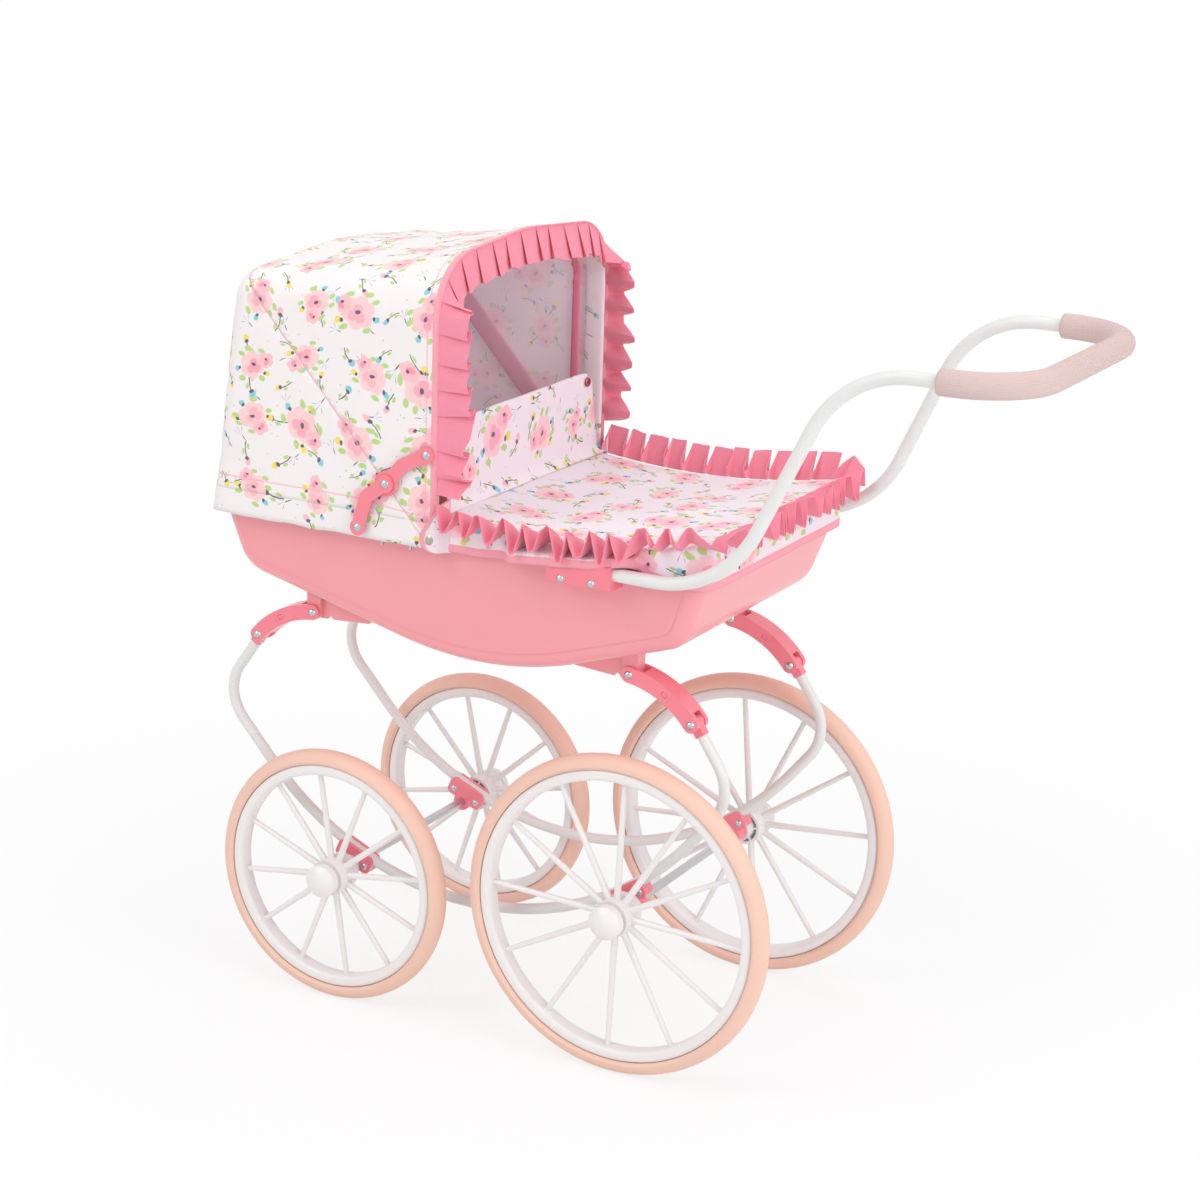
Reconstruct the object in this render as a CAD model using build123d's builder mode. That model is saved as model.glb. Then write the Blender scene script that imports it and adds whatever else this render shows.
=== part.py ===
from build123d import *
import os
from math import asin, atan2, cos, degrees, hypot, radians, sin, sqrt

# Doll's pram of the coach-built kind: a moulded tub on a sprung tube chassis with four spoked
# wheels, a push handle, a cloth hood that folds on two bows with side stays, and a cloth apron.
# Millimetres. +Z is up, X runs from the hood end (-X, the front) to the handle end (+X),
# and left is -Y. The origin is on the floor, midway between the axles.

# Clearances
run_clearance = 0.06        # a shaft that turns in its hole, on the radius
fit_clearance = 0.1         # pieces that are fixed together
side_clearance = 0.3        # flat links that slide past each other
soft_clearance = 0.4        # cloth beside hard pieces

# Wheels
wheelbase = 301.0
track = 272.0               # between the middles of the left and right wheels
front_wheel_r = 122.5
rear_wheel_r = 150.0
tyre_width = 21.0
tyre_foot = 16.0
tyre_depth = 13.0
rim_width = 18.0
rim_depth = 10.5
rim_inner_round = 4.0
spoke_count = 12
spoke_hub_d = 6.4
spoke_rim_d = 4.8
spoke_sink = 3.0            # how far a spoke runs into the hub and the rim
front_spoke_turn = (8.7, 12.0)    # degrees from the handle end to the first spoke, left and right
rear_spoke_turn = (-2.0, 5.2)
hub_d = 34.0
hub_outer = 12.0            # hub face outside the wheel's middle
hub_inner = 16.0            # hub barrel inside the wheel's middle
hub_boss_d = 22.0
hub_recess = 8.0
hub_wall = 2.5
hub_rib = 2.0
hub_rib_count = 6
hub_gap = 0.5               # between the hub boss and the axle clamp
cap_d = 31.0
cap_collar_d = 24.0
clip_groove = 3.2
cap_length = 14.3
cap_side = 7.8              # straight side of the cap before its dome
axle_d = 8.0
axle_in_cap = 8.0           # how far the axle runs past the hub face

# Sprung chassis
spring_y = 101.0
tube_d = 10.0
tube_wall = 1.0
bow_radius = 299.0
axle_drop = 15.0            # from the tube's middle down to the axle
front_rise = 47.6           # slope of the tube where the bow ends, degrees
rear_rise = 50.9
front_curl_r = 42.0
rear_curl_r = 44.0
front_eye = (-254.0, 334.0)   # pivot of the tube's front end, X and Z
rear_eye = (204.0, 331.0)
front_lead = 234.4          # heading of the tube where it leaves its eye, degrees
rear_lead = -56.1
tube_setback = 13.0         # from the eye to the end of the tube
plug_width = 10.0
plug_eye_d = 12.4
plug_neck = 9.0
plug_spigot = 16.0

# Axle clamps
clamp_width = 15.0
clamp_boss_d = 18.0
clamp_length = 40.0
clamp_cover = 4.0           # plate above the tube's middle
clamp_round = 5.0
clamp_screw_pitch = 27.5
clamp_screw_drop = 7.5      # from the tube's middle down to the screws
clamp_screw_d = 3.0
clamp_head_d = 6.4
clamp_head_h = 1.6
clamp_slot = 5.2            # opening between the halves over the tube
clamp_split = 0.2

# Suspension arms
front_arm_top = (-192.0, 366.0)
rear_arm_top = (141.5, 366.0)
arm_bow = 7.0               # height of the arm's curve over its chord
arm_height = 14.4
arm_width = 21.0
arm_joint = 0.6             # where the clevis meets the arm, along its curve
arm_fork_r = 15.0
clevis_fork_r = 10.5
tongue_length = 12.0
tongue_root = 2.0
tongue_height = 7.5
tongue_width = 12.0
snap_window = (6.0, 4.0)
snap_setback = 6.0
arm_rivet_d = 4.0
arm_rivet_head_d = 7.6
arm_rivet_head_h = 2.2

# Tub
rim_height = 464.0
tub_front = -274.0          # ends of the rim
tub_rear = 223.0
front_heel = (-256.0, 405.0)
rear_heel = (203.0, 405.0)
keel = (2.0, 339.0)
heel_r = 35.0
keel_r = 320.0
tub_half_width = 138.0      # at the rim
keel_half_width = 122.0     # at the keel corner
tub_wall = 3.0
tub_edge_r = 13.0
lip_width = 3.0
lip_height = 3.0
panel_margin = 15.0
panel_proud = 0.9
lug_width = 14.0
lug_length = 15.0
lug_height = 45.0
rib_width = 5.0
rib_length = 58.0
rib_tail = 20.0             # the rib runs out into the tub over this length
rib_drop = 6.0
rib_rise = 3.0
hook_r = 3.2
hook_reach = 15.0

# Handle
handle_y = 152.0
handle_top_y = 142.0        # the two necks lean in towards the crossbar
handle_d = 12.0
handle_wall = 1.2
handle_over_rim = 4.0       # the tube runs this far over the rim in its socket
handle_rise = 202.4
handle_start = 90.0
handle_low_corner = 250.5
handle_high_corner = 345.0
handle_end = 498.6          # middle of the crossbar
handle_low_r = 101.0
handle_high_r = 94.0
handle_end_r = 64.0
grip_d = 22.0
grip_start = 426.0
socket_front = 84.0
socket_rear = 147.0
socket_wall = 2.4
socket_drop = 10.0          # below the rim
socket_round = 2.0
socket_rivet_x = (98.0, 128.0)
socket_rivet_drop = 5.4     # below the rim, under the tube
socket_rivet_d = 3.0
socket_rivet_head_d = 7.0
socket_rivet_head_h = 1.8

# Hood
pivot_place = (-57.0, 18.0)   # both bows turn here: X, and height over the rim
hood_half_width = 153.0
hood_front = -32.0
hood_rise = 253.0           # from the rim to the corner of the arch before it is rounded
hood_crown = 12.0           # rise of the arch over its corners
hood_shoulder_r = 58.0
hood_back_shoulder_r = 26.0
hood_crown_r = 320.0
hood_slope = 0.145          # fall of the top per millimetre towards the front end
hood_rear_top = -249.0      # rear panel at the height of the arch
hood_rear_low = -283.0
hood_skirt_drop = 3.0       # the skirt hangs this far below the rim
hood_skirt_rise = 20.0
hood_seam_gap = 0.6
hood_back_r = 18.0          # between the roof and the back
hood_corner_r = 24.0        # between the sides and the back
cloth = 1.5
stud_place = (-38.5, 5.5)   # X, and height over the rim
stud_d = 11.0
stud_h = 2.2
stud_post_d = 3.0
bow_thickness = 2.2
bow_width = 9.0
bow_eye_d = 13.0
rear_bow_angle = 132.4      # from the handle end, about the pivot
rear_bow_reach = 266.0
rear_bow_corner_r = 40.0
rear_bow_crown = 9.0
front_bow_lead = 14.0       # the front bow stands this far ahead of the pivot
bow_pin_d = 5.0
bow_pin_head_d = 9.0
bow_pin_head_h = 1.5
plate_thickness = 2.5
plate_front = -126.0
plate_rear = -45.0
plate_rise = 15.0
plate_round = 5.0
plate_screw_x = (-98.0, -68.0)
plate_foot = 1.6            # thickness of the foot on the rim
plate_screw_d = 3.0
plate_screw_depth = 11.0
plate_screw_head_d = 6.0
plate_screw_head_h = 1.4

# Hood stays: each place is X, and height over the rim
stay_head_place = (-42.0, 82.0)
stay_mid_place = (-83.0, 50.8)
stay_foot_place = (-111.7, 6.8)
stay_thickness = 2.2
stay_width = 12.5
stay_eye_d = 15.0
lower_knee_d = 16.5         # wider ends round the middle rivet
upper_knee_d = 23.0
lower_bend_place = (-102.5, 36.5)
upper_bend_place = (-67.0, 69.0)
stay_rivet_d = 3.6
stay_rivet_head_d = 7.6
stay_rivet_head_h = 1.8
stay_hole_d = 6.4           # holes in the cloth round the stay rivets

# Apron: each rise is over the rim
apron_front = -34.0
apron_rear = 232.0
apron_half_width = 144.5
apron_drop = 5.5            # the hem hangs this far below the rim
apron_notch_rise = 7.0      # the hem rises over the handle sockets
apron_notch_run = 12.0
apron_front_rise = 30.0
apron_mid_rise = 23.0
apron_rear_rise = 41.0
apron_mid_x = 95.0
apron_corner_r = 22.0
apron_edge_r = 5.0
flap_x = -31.0
flap_thickness = 2.0
flap_rise = 30.75           # middle of the bead the flap folds on
flap_height = 80.25
flap_low_half = 126.0
flap_high_half = 121.0
flap_corner_r = 10.0
flap_stud_d = 9.0
flap_stud_inset = 9.0

# Pleated frills
frill_thickness = 1.2
frill_pleat = 19.0          # length of one pleat along the edge
hood_frill_depth = 27.0
hood_frill_wave = 3.0
hood_frill_rise = 48.0      # its ends stand this far over the rim
apron_frill_height = 22.0
apron_frill_wave = 4.0
apron_frill_start = 2.0

# A place on the side of the pram given by X and its height over the rim
def on_rim(place):
    return (place[0], rim_height + place[1])


# Values that follow from the sizes above
handle_low = rim_height + handle_over_rim
handle_high = handle_low + handle_rise
socket_low = rim_height - socket_drop
socket_rivet_z = rim_height - socket_rivet_drop
pivot = on_rim(pivot_place)
hood_shoulder = rim_height + hood_rise
hood_skirt_low = rim_height - hood_skirt_drop
hood_skirt_top = rim_height + hood_skirt_rise
stud_at = on_rim(stud_place)
plate_mid = rim_height + plate_rise
stay_head = on_rim(stay_head_place)
stay_mid = on_rim(stay_mid_place)
stay_foot = on_rim(stay_foot_place)
lower_stay_bend = on_rim(lower_bend_place)
upper_stay_bend = on_rim(upper_bend_place)
apron_hem = rim_height - apron_drop
apron_notch = rim_height + apron_notch_rise
apron_front_top = rim_height + apron_front_rise
apron_mid_top = rim_height + apron_mid_rise
apron_rear_top = rim_height + apron_rear_rise
flap_low = rim_height + flap_rise
flap_high = flap_low + flap_height
hood_frill_low = rim_height + hood_frill_rise
tube_r = tube_d / 2
axle_r = axle_d / 2
handle_r = handle_d / 2
front_axle = (-wheelbase / 2, front_wheel_r)
rear_axle = (wheelbase / 2, rear_wheel_r)
hub_boss_end = track / 2 - spring_y - clamp_width / 2 - hub_gap
lip_half_width = tub_half_width + lip_width
draft = (tub_half_width - keel_half_width) / (rim_height - keel[1])
hood_top = hood_shoulder + hood_crown
plate_low = rim_height + side_clearance
plate_in = lip_half_width + side_clearance
plate_out = plate_in + plate_thickness
rear_bow_in = plate_out + side_clearance
rear_bow_out = rear_bow_in + bow_thickness
front_bow_in = rear_bow_out + side_clearance
front_bow_out = front_bow_in + bow_thickness
upper_stay_in = hood_half_width + soft_clearance
upper_stay_out = upper_stay_in + stay_thickness
lower_stay_in = upper_stay_out + side_clearance
lower_stay_out = lower_stay_in + stay_thickness
socket_in = apron_half_width + soft_clearance
socket_out = handle_y + handle_r + socket_wall
socket_top = handle_low + handle_r + socket_wall

os.makedirs("parts", exist_ok=True)


def save(piece, name):
    piece.part.label = name
    export_step(piece.part, "parts/" + name + ".step")


def save_pair(left, name):
    with BuildPart() as right:
        mirror(left.part, about=Plane.XZ)
    save(left, "left_" + name)
    save(right, "right_" + name)


def heading(angle):
    return (cos(radians(angle)), sin(radians(angle)))


def along(point, angle, distance):
    step = heading(angle)
    return (point[0] + step[0] * distance, point[1] + step[1] * distance)


def meet(point_a, angle_a, point_b, angle_b):
    ax, az = heading(angle_a)
    bx, bz = heading(angle_b)
    dx = point_b[0] - point_a[0]
    dz = point_b[1] - point_a[1]
    distance = (dx * bz - dz * bx) / (ax * bz - az * bx)
    return (point_a[0] + ax * distance, point_a[1] + az * distance)


# A sketch plane parallel to the side of the pram: local x is X, local y is Z, normal is -Y
def side_plane(y):
    return Plane.XZ.offset(-y)


# A plane through an axis across the pram: local x points to the left (-Y), local y is up
def turning_plane(x, y, z):
    return Plane(origin=(x, y, z), x_dir=(0, -1, 0), z_dir=(-1, 0, 0))


def cross_axis(x, z):
    return Axis((x, 0, z), (0, 1, 0))


# The radius and the angle of a dome of a given width and height
def dome(width, height):
    radius = (width ** 2 / 4 + height ** 2) / (2 * height)
    return radius, degrees(asin(width / 2 / radius))


# A rivet across the left side of the pram with a domed head outside and a domed tail inside
def rivet(x, z, grip_in, grip_out, shank_d, head_d, head_h, tail_d=0):
    tail_d = tail_d or head_d
    dome_r, dome_angle = dome(head_d, head_h)
    tail_r, tail_angle = dome(tail_d, head_h)
    with BuildPart() as pin:
        with BuildSketch(turning_plane(x, 0, z)):
            with BuildLine():
                Line((grip_in - head_h, 0), (grip_out + head_h, 0))
                CenterArc((grip_out + head_h - dome_r, 0), dome_r, 0, dome_angle)
                Polyline(
                    (grip_out, head_d / 2),
                    (grip_out, shank_d / 2),
                    (grip_in, shank_d / 2),
                    (grip_in, tail_d / 2),
                )
                CenterArc((grip_in - head_h + tail_r, 0), tail_r, 180 - tail_angle, tail_angle)
            make_face()
        revolve(axis=cross_axis(x, z))
    return pin.part


# Wheels: tyre, spoked wheel and hub cap
def make_wheel(name, axle, wheel_r, spoke_turns):
    x, z = axle
    seat_r = wheel_r - tyre_depth
    tread_r = wheel_r - tyre_width / 2
    rim_r = seat_r - fit_clearance
    rim_inner_r = rim_r - rim_depth
    plane = turning_plane(x, -track / 2, z)
    bore_r = axle_r + run_clearance

    with BuildPart() as tyre:
        with BuildSketch(plane):
            with BuildLine():
                Polyline(
                    (-tyre_width / 2, tread_r),
                    (-tyre_foot / 2, seat_r),
                    (tyre_foot / 2, seat_r),
                    (tyre_width / 2, tread_r),
                )
                ThreePointArc((tyre_width / 2, tread_r), (0, wheel_r), (-tyre_width / 2, tread_r))
            make_face()
        revolve(axis=cross_axis(x, z))
    save_pair(tyre, name + "_tyre")

    def spoked_wheel(spoke_turn):
        with BuildPart() as wheel:
            with BuildSketch(plane):
                with Locations((0, rim_r - rim_depth / 2)):
                    Rectangle(rim_width, rim_depth)
                inner_corners = vertices().group_by(Axis.Z)[0]
                fillet(inner_corners, rim_inner_round)
            revolve(axis=cross_axis(x, z))
            with BuildSketch(plane):
                with BuildLine():
                    Polyline(
                        (-hub_boss_end, bore_r),
                        (-hub_boss_end, hub_boss_d / 2),
                        (-hub_inner + hub_recess, hub_boss_d / 2),
                        (-hub_inner + hub_recess, hub_d / 2 - hub_wall),
                        (-hub_inner, hub_d / 2 - hub_wall),
                        (-hub_inner, hub_d / 2),
                        (hub_outer, hub_d / 2),
                        (hub_outer, bore_r),
                        close=True,
                    )
                make_face()
            revolve(axis=cross_axis(x, z))
            spoke_start = hub_d / 2 - spoke_sink
            for i in range(spoke_count):
                out = heading(spoke_turn + i * 360 / spoke_count)
                spoke_plane = Plane(origin=(x, -track / 2, z), z_dir=(out[0], 0, out[1]))
                with Locations(spoke_plane.offset(spoke_start)):
                    Cone(
                        spoke_hub_d / 2,
                        spoke_rim_d / 2,
                        rim_inner_r + spoke_sink - spoke_start,
                        align=(Align.CENTER, Align.CENTER, Align.MIN),
                    )
            rib_height = hub_d / 2 - hub_wall / 2 - hub_boss_d / 2 + hub_rib
            for i in range(hub_rib_count):
                out = heading(spoke_turn + i * 360 / hub_rib_count)
                rib_plane = Plane(
                    origin=(x, -track / 2 + hub_inner - hub_recess, z),
                    x_dir=(0, 1, 0),
                    z_dir=(out[0], 0, out[1]),
                )
                with Locations(rib_plane.offset(hub_boss_d / 2 - hub_rib / 2)):
                    Box(hub_recess, hub_rib, rib_height, align=(Align.MIN, Align.CENTER, Align.MIN))
        return wheel

    save(spoked_wheel(spoke_turns[0]), "left_" + name + "_wheel")
    with BuildPart() as right_wheel:
        mirror(spoked_wheel(spoke_turns[1]).part, about=Plane.XZ)
    save(right_wheel, "right_" + name + "_wheel")

    groove_end = hub_outer + clip_groove
    dome_start = groove_end + cap_side
    cap_end = groove_end + cap_length
    dome_r, dome_angle = dome(cap_d, cap_length - cap_side)
    with BuildPart() as hub_cap:
        with BuildSketch(plane):
            with BuildLine():
                Polyline(
                    (cap_end, 0),
                    (hub_outer + axle_in_cap + fit_clearance, 0),
                    (hub_outer + axle_in_cap + fit_clearance, bore_r),
                    (hub_outer, bore_r),
                    (hub_outer, cap_collar_d / 2),
                    (groove_end, cap_collar_d / 2),
                    (groove_end, cap_d / 2),
                    (dome_start, cap_d / 2),
                )
                CenterArc((cap_end - dome_r, 0), dome_r, 0, dome_angle)
            make_face()
        revolve(axis=cross_axis(x, z))
    save_pair(hub_cap, name + "_hub_cap")


make_wheel("front", front_axle, front_wheel_r, front_spoke_turn)
make_wheel("rear", rear_axle, rear_wheel_r, rear_spoke_turn)


def make_axle(name, axle):
    with BuildPart() as rod:
        with BuildSketch(Plane.XZ):
            with Locations(axle):
                Circle(axle_r)
        extrude(amount=track / 2 + hub_outer + axle_in_cap, both=True)
        chamfer(edges().filter_by(GeomType.CIRCLE), 0.8)
    save(rod, name)


make_axle("front_axle", front_axle)
make_axle("rear_axle", rear_axle)


# Chassis tubes: a wide bow under the tub that passes over both axles and curls up at each end.
# The bow's centre lies on the line square to the axles, so that the tube clears both alike.
axle_dx = rear_axle[0] - front_axle[0]
axle_dz = rear_axle[1] - front_axle[1]
axle_gap = hypot(axle_dx, axle_dz)
bow_rise = sqrt((bow_radius + axle_drop) ** 2 - (axle_gap / 2) ** 2)
bow_centre = (
    (front_axle[0] + rear_axle[0]) / 2 - axle_dz / axle_gap * bow_rise,
    (front_axle[1] + rear_axle[1]) / 2 + axle_dx / axle_gap * bow_rise,
)
front_tangent = along(bow_centre, 270 - front_rise, bow_radius)
rear_tangent = along(bow_centre, 270 + rear_rise, bow_radius)
front_curl = meet(front_eye, front_lead, front_tangent, 180 - front_rise)
rear_curl = meet(rear_eye, rear_lead, rear_tangent, rear_rise)
bow_corner = meet(front_tangent, -front_rise, rear_tangent, 180 + rear_rise)
front_tube_end = along(front_eye, front_lead, tube_setback)
rear_tube_end = along(rear_eye, rear_lead, tube_setback)


def tube_along_bow(outer_r, inner_r):
    corners = [front_tube_end, front_curl, bow_corner, rear_curl, rear_tube_end]
    with BuildPart() as tube:
        with BuildLine(side_plane(-spring_y)) as route:
            FilletPolyline(*corners, radius=[front_curl_r, bow_radius, rear_curl_r])
        with BuildSketch(Plane(route.line ^ 0)):
            Circle(outer_r)
            if inner_r:
                Circle(inner_r, mode=Mode.SUBTRACT)
        sweep()
    return tube


chassis_tube = tube_along_bow(tube_r, tube_r - tube_wall)
save_pair(chassis_tube, "chassis_tube")
tube_bed = tube_along_bow(tube_r + fit_clearance, 0)


# Tube end plugs: an eye between the clevis cheeks and a spigot inside the tube
with BuildPart() as tube_end_plugs:
    for eye, lead in ((front_eye, front_lead), (rear_eye, rear_lead)):
        out = heading(lead)
        neck_plane = Plane(origin=(eye[0], -spring_y, eye[1]), x_dir=(out[0], 0, out[1]), z_dir=(0, -1, 0))
        with BuildSketch(neck_plane):
            Circle(plug_eye_d / 2)
            with Locations((tube_setback / 2, 0)):
                Rectangle(tube_setback, plug_neck)
            Circle(arm_rivet_d / 2 + fit_clearance, mode=Mode.SUBTRACT)
        extrude(amount=plug_width / 2, both=True)
        spigot_plane = Plane(origin=(eye[0], -spring_y, eye[1]), z_dir=(out[0], 0, out[1]))
        with BuildSketch(spigot_plane.offset(tube_setback)):
            Circle(tube_r - tube_wall - fit_clearance)
        extrude(amount=plug_spigot)
    mirror(about=Plane.XZ)
save(tube_end_plugs, "tube_end_plugs")


# Axle clamps: two plates with the chassis tube between them and a boss for the axle below
def clamp_plane(axle):
    reach = hypot(bow_centre[0] - axle[0], bow_centre[1] - axle[1])
    up_x = (bow_centre[0] - axle[0]) / reach
    up_z = (bow_centre[1] - axle[1]) / reach
    return Plane(origin=(axle[0], -spring_y, axle[1]), x_dir=(up_z, 0, -up_x), z_dir=(0, -1, 0))


screw_height = axle_drop - clamp_screw_drop
screw_spots = [(-clamp_screw_pitch / 2, screw_height), (clamp_screw_pitch / 2, screw_height)]


def make_clamp(name, axle):
    plane = clamp_plane(axle)
    plate_top = axle_drop + clamp_cover
    plate_bottom = screw_height - clamp_head_d
    with BuildPart() as clamp:
        with BuildSketch(plane):
            Circle(clamp_boss_d / 2)
            with Locations((0, (plate_top + plate_bottom) / 2)):
                RectangleRounded(clamp_length, plate_top - plate_bottom, clamp_round)
            Polygon(
                (-clamp_boss_d / 2, 0),
                (clamp_boss_d / 2, 0),
                (clamp_screw_pitch / 2, screw_height),
                (-clamp_screw_pitch / 2, screw_height),
                align=None,
            )
            Circle(axle_r + fit_clearance, mode=Mode.SUBTRACT)
            with Locations(*screw_spots):
                Circle(clamp_screw_d / 2 + fit_clearance, mode=Mode.SUBTRACT)
        extrude(amount=clamp_width / 2, both=True)
        add(tube_bed.part, mode=Mode.SUBTRACT)
        with BuildSketch(plane):
            with Locations((0, axle_drop)):
                Rectangle(2 * clamp_length, clamp_width, align=(Align.CENTER, Align.MIN))
        extrude(amount=clamp_slot / 2, both=True, mode=Mode.SUBTRACT)
        with BuildSketch(plane):
            Rectangle(2 * clamp_length, 4 * axle_drop)
        extrude(amount=clamp_split / 2, both=True, mode=Mode.SUBTRACT)
    save_pair(clamp, name)


make_clamp("front_axle_clamp", front_axle)
make_clamp("rear_axle_clamp", rear_axle)

with BuildPart() as clamp_screws:
    for axle in (front_axle, rear_axle):
        plane = clamp_plane(axle)
        for spot in screw_spots:
            place = plane.from_local_coords(Vector(spot[0], spot[1], 0))
            add(
                rivet(
                    place.X,
                    place.Z,
                    spring_y - clamp_width / 2,
                    spring_y + clamp_width / 2,
                    clamp_screw_d,
                    clamp_head_d,
                    clamp_head_h,
                )
            )
    mirror(about=Plane.XZ)
save(clamp_screws, "clamp_screws")


# Suspension arms: a curved arm hung on the tub and a clevis that snaps into its lower end
def make_arm(name, top, eye):
    plane = side_plane(-spring_y)
    chord = hypot(eye[0] - top[0], eye[1] - top[1])
    lift = arm_bow / chord
    outboard = 1 if eye[0] > top[0] else -1
    crest = (
        (top[0] + eye[0]) / 2 + outboard * (top[1] - eye[1]) * lift,
        (top[1] + eye[1]) / 2 + outboard * (eye[0] - top[0]) * lift,
    )
    curve = ThreePointArc(top, crest, eye)
    joint = curve @ arm_joint
    slope = curve % arm_joint
    joint_plane = Plane(origin=(joint.X, -spring_y, joint.Y), z_dir=(slope.X, 0, slope.Y))
    tongue_plane = Plane(
        origin=(joint.X, -spring_y, joint.Y), x_dir=(slope.X, 0, slope.Y), z_dir=(0, -1, 0)
    )
    hole_r = arm_rivet_d / 2 + fit_clearance

    with BuildPart() as arm:
        with BuildSketch(plane):
            SlotArc(curve, arm_height)
            with Locations(top):
                Circle(hole_r, mode=Mode.SUBTRACT)
        extrude(amount=arm_width / 2, both=True)
        split(bisect_by=joint_plane, keep=Keep.BOTTOM)
        with BuildSketch(plane):
            with Locations(top):
                Circle(arm_fork_r)
        extrude(amount=lug_width / 2 + side_clearance, both=True, mode=Mode.SUBTRACT)
        with BuildSketch(tongue_plane):
            with Locations((side_clearance, 0)):
                Rectangle(
                    tongue_length + 2 * side_clearance,
                    tongue_height + side_clearance,
                    align=(Align.MAX, Align.CENTER),
                )
        extrude(amount=tongue_width / 2 + side_clearance, both=True, mode=Mode.SUBTRACT)
        with BuildSketch(tongue_plane):
            with Locations((-snap_setback, 0)):
                Rectangle(*snap_window)
        extrude(amount=arm_width, both=True, mode=Mode.SUBTRACT)
    save_pair(arm, name + "_arm")

    with BuildPart() as clevis:
        with BuildSketch(plane):
            SlotArc(curve, arm_height)
            with Locations(eye):
                Circle(hole_r, mode=Mode.SUBTRACT)
        extrude(amount=arm_width / 2, both=True)
        split(bisect_by=joint_plane.offset(fit_clearance), keep=Keep.TOP)
        with BuildSketch(plane):
            with Locations(eye):
                Circle(clevis_fork_r)
        extrude(amount=plug_width / 2 + side_clearance, both=True, mode=Mode.SUBTRACT)
        with BuildSketch(tongue_plane):
            with Locations((tongue_root, 0)):
                Rectangle(tongue_length + tongue_root, tongue_height, align=(Align.MAX, Align.CENTER))
        extrude(amount=tongue_width / 2, both=True)
        with BuildSketch(tongue_plane):
            with Locations((-snap_setback, 0)):
                Rectangle(snap_window[0] - 2 * side_clearance, snap_window[1] - 2 * side_clearance)
        extrude(amount=arm_width / 2 - side_clearance, both=True)
    save_pair(clevis, name + "_clevis")


make_arm("front", front_arm_top, front_eye)
make_arm("rear", rear_arm_top, rear_eye)

with BuildPart() as arm_rivets:
    for spot in (front_arm_top, rear_arm_top, front_eye, rear_eye):
        add(
            rivet(
                spot[0],
                spot[1],
                spring_y - arm_width / 2,
                spring_y + arm_width / 2,
                arm_rivet_d,
                arm_rivet_head_d,
                arm_rivet_head_h,
            )
        )
    mirror(about=Plane.XZ)
save(arm_rivets, "arm_rivets")


# Tub: the side outline and the drafted cross-section meet in one boat shape with rounded edges
over_rim = 30.0             # the plain shape runs on above the rim, and is cut there


def line_x(low, high, z):
    return low[0] + (high[0] - low[0]) * (z - low[1]) / (high[1] - low[1])


def tub_outline(inset):
    top = rim_height + over_rim
    front_top = (line_x(front_heel, (tub_front, rim_height), top), top)
    rear_top = (line_x(rear_heel, (tub_rear, rim_height), top), top)
    with BuildSketch(Plane.XZ) as outline:
        with BuildLine():
            wall = FilletPolyline(
                front_top, front_heel, keel, rear_heel, rear_top, radius=[heel_r, keel_r, heel_r]
            )
            Line(wall @ 1, wall @ 0)
        make_face()
        if inset:
            offset(amount=-inset)
    return outline.sketch


def half_width_at(z):
    return tub_half_width - draft * (rim_height - z)


def tub_form(inset, proud, edge_r):
    top = rim_height + 2 * over_rim
    bottom = keel[1] - over_rim
    with BuildPart() as form:
        extrude(tub_outline(inset), amount=tub_half_width + 2 * over_rim, both=True)
        with BuildSketch(Plane.YZ):
            Polygon(
                (-half_width_at(bottom) - proud, bottom),
                (half_width_at(bottom) + proud, bottom),
                (half_width_at(top) + proud, top),
                (-half_width_at(top) - proud, top),
                align=None,
            )
        extrude(amount=tub_rear - tub_front, both=True, mode=Mode.INTERSECT)
        if edge_r:
            sides = faces().sort_by(Axis.Y)
            side_edges = sides[0].edges() + sides[-1].edges()
            fillet(side_edges.sort_by(Axis.Z)[:-2], edge_r)
    return form


tub_outer = tub_form(0, 0, tub_edge_r)
tub_inner = tub_form(tub_wall, -tub_wall, tub_edge_r - tub_wall)
tub_panel = tub_form(panel_margin, panel_proud, 0)

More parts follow.
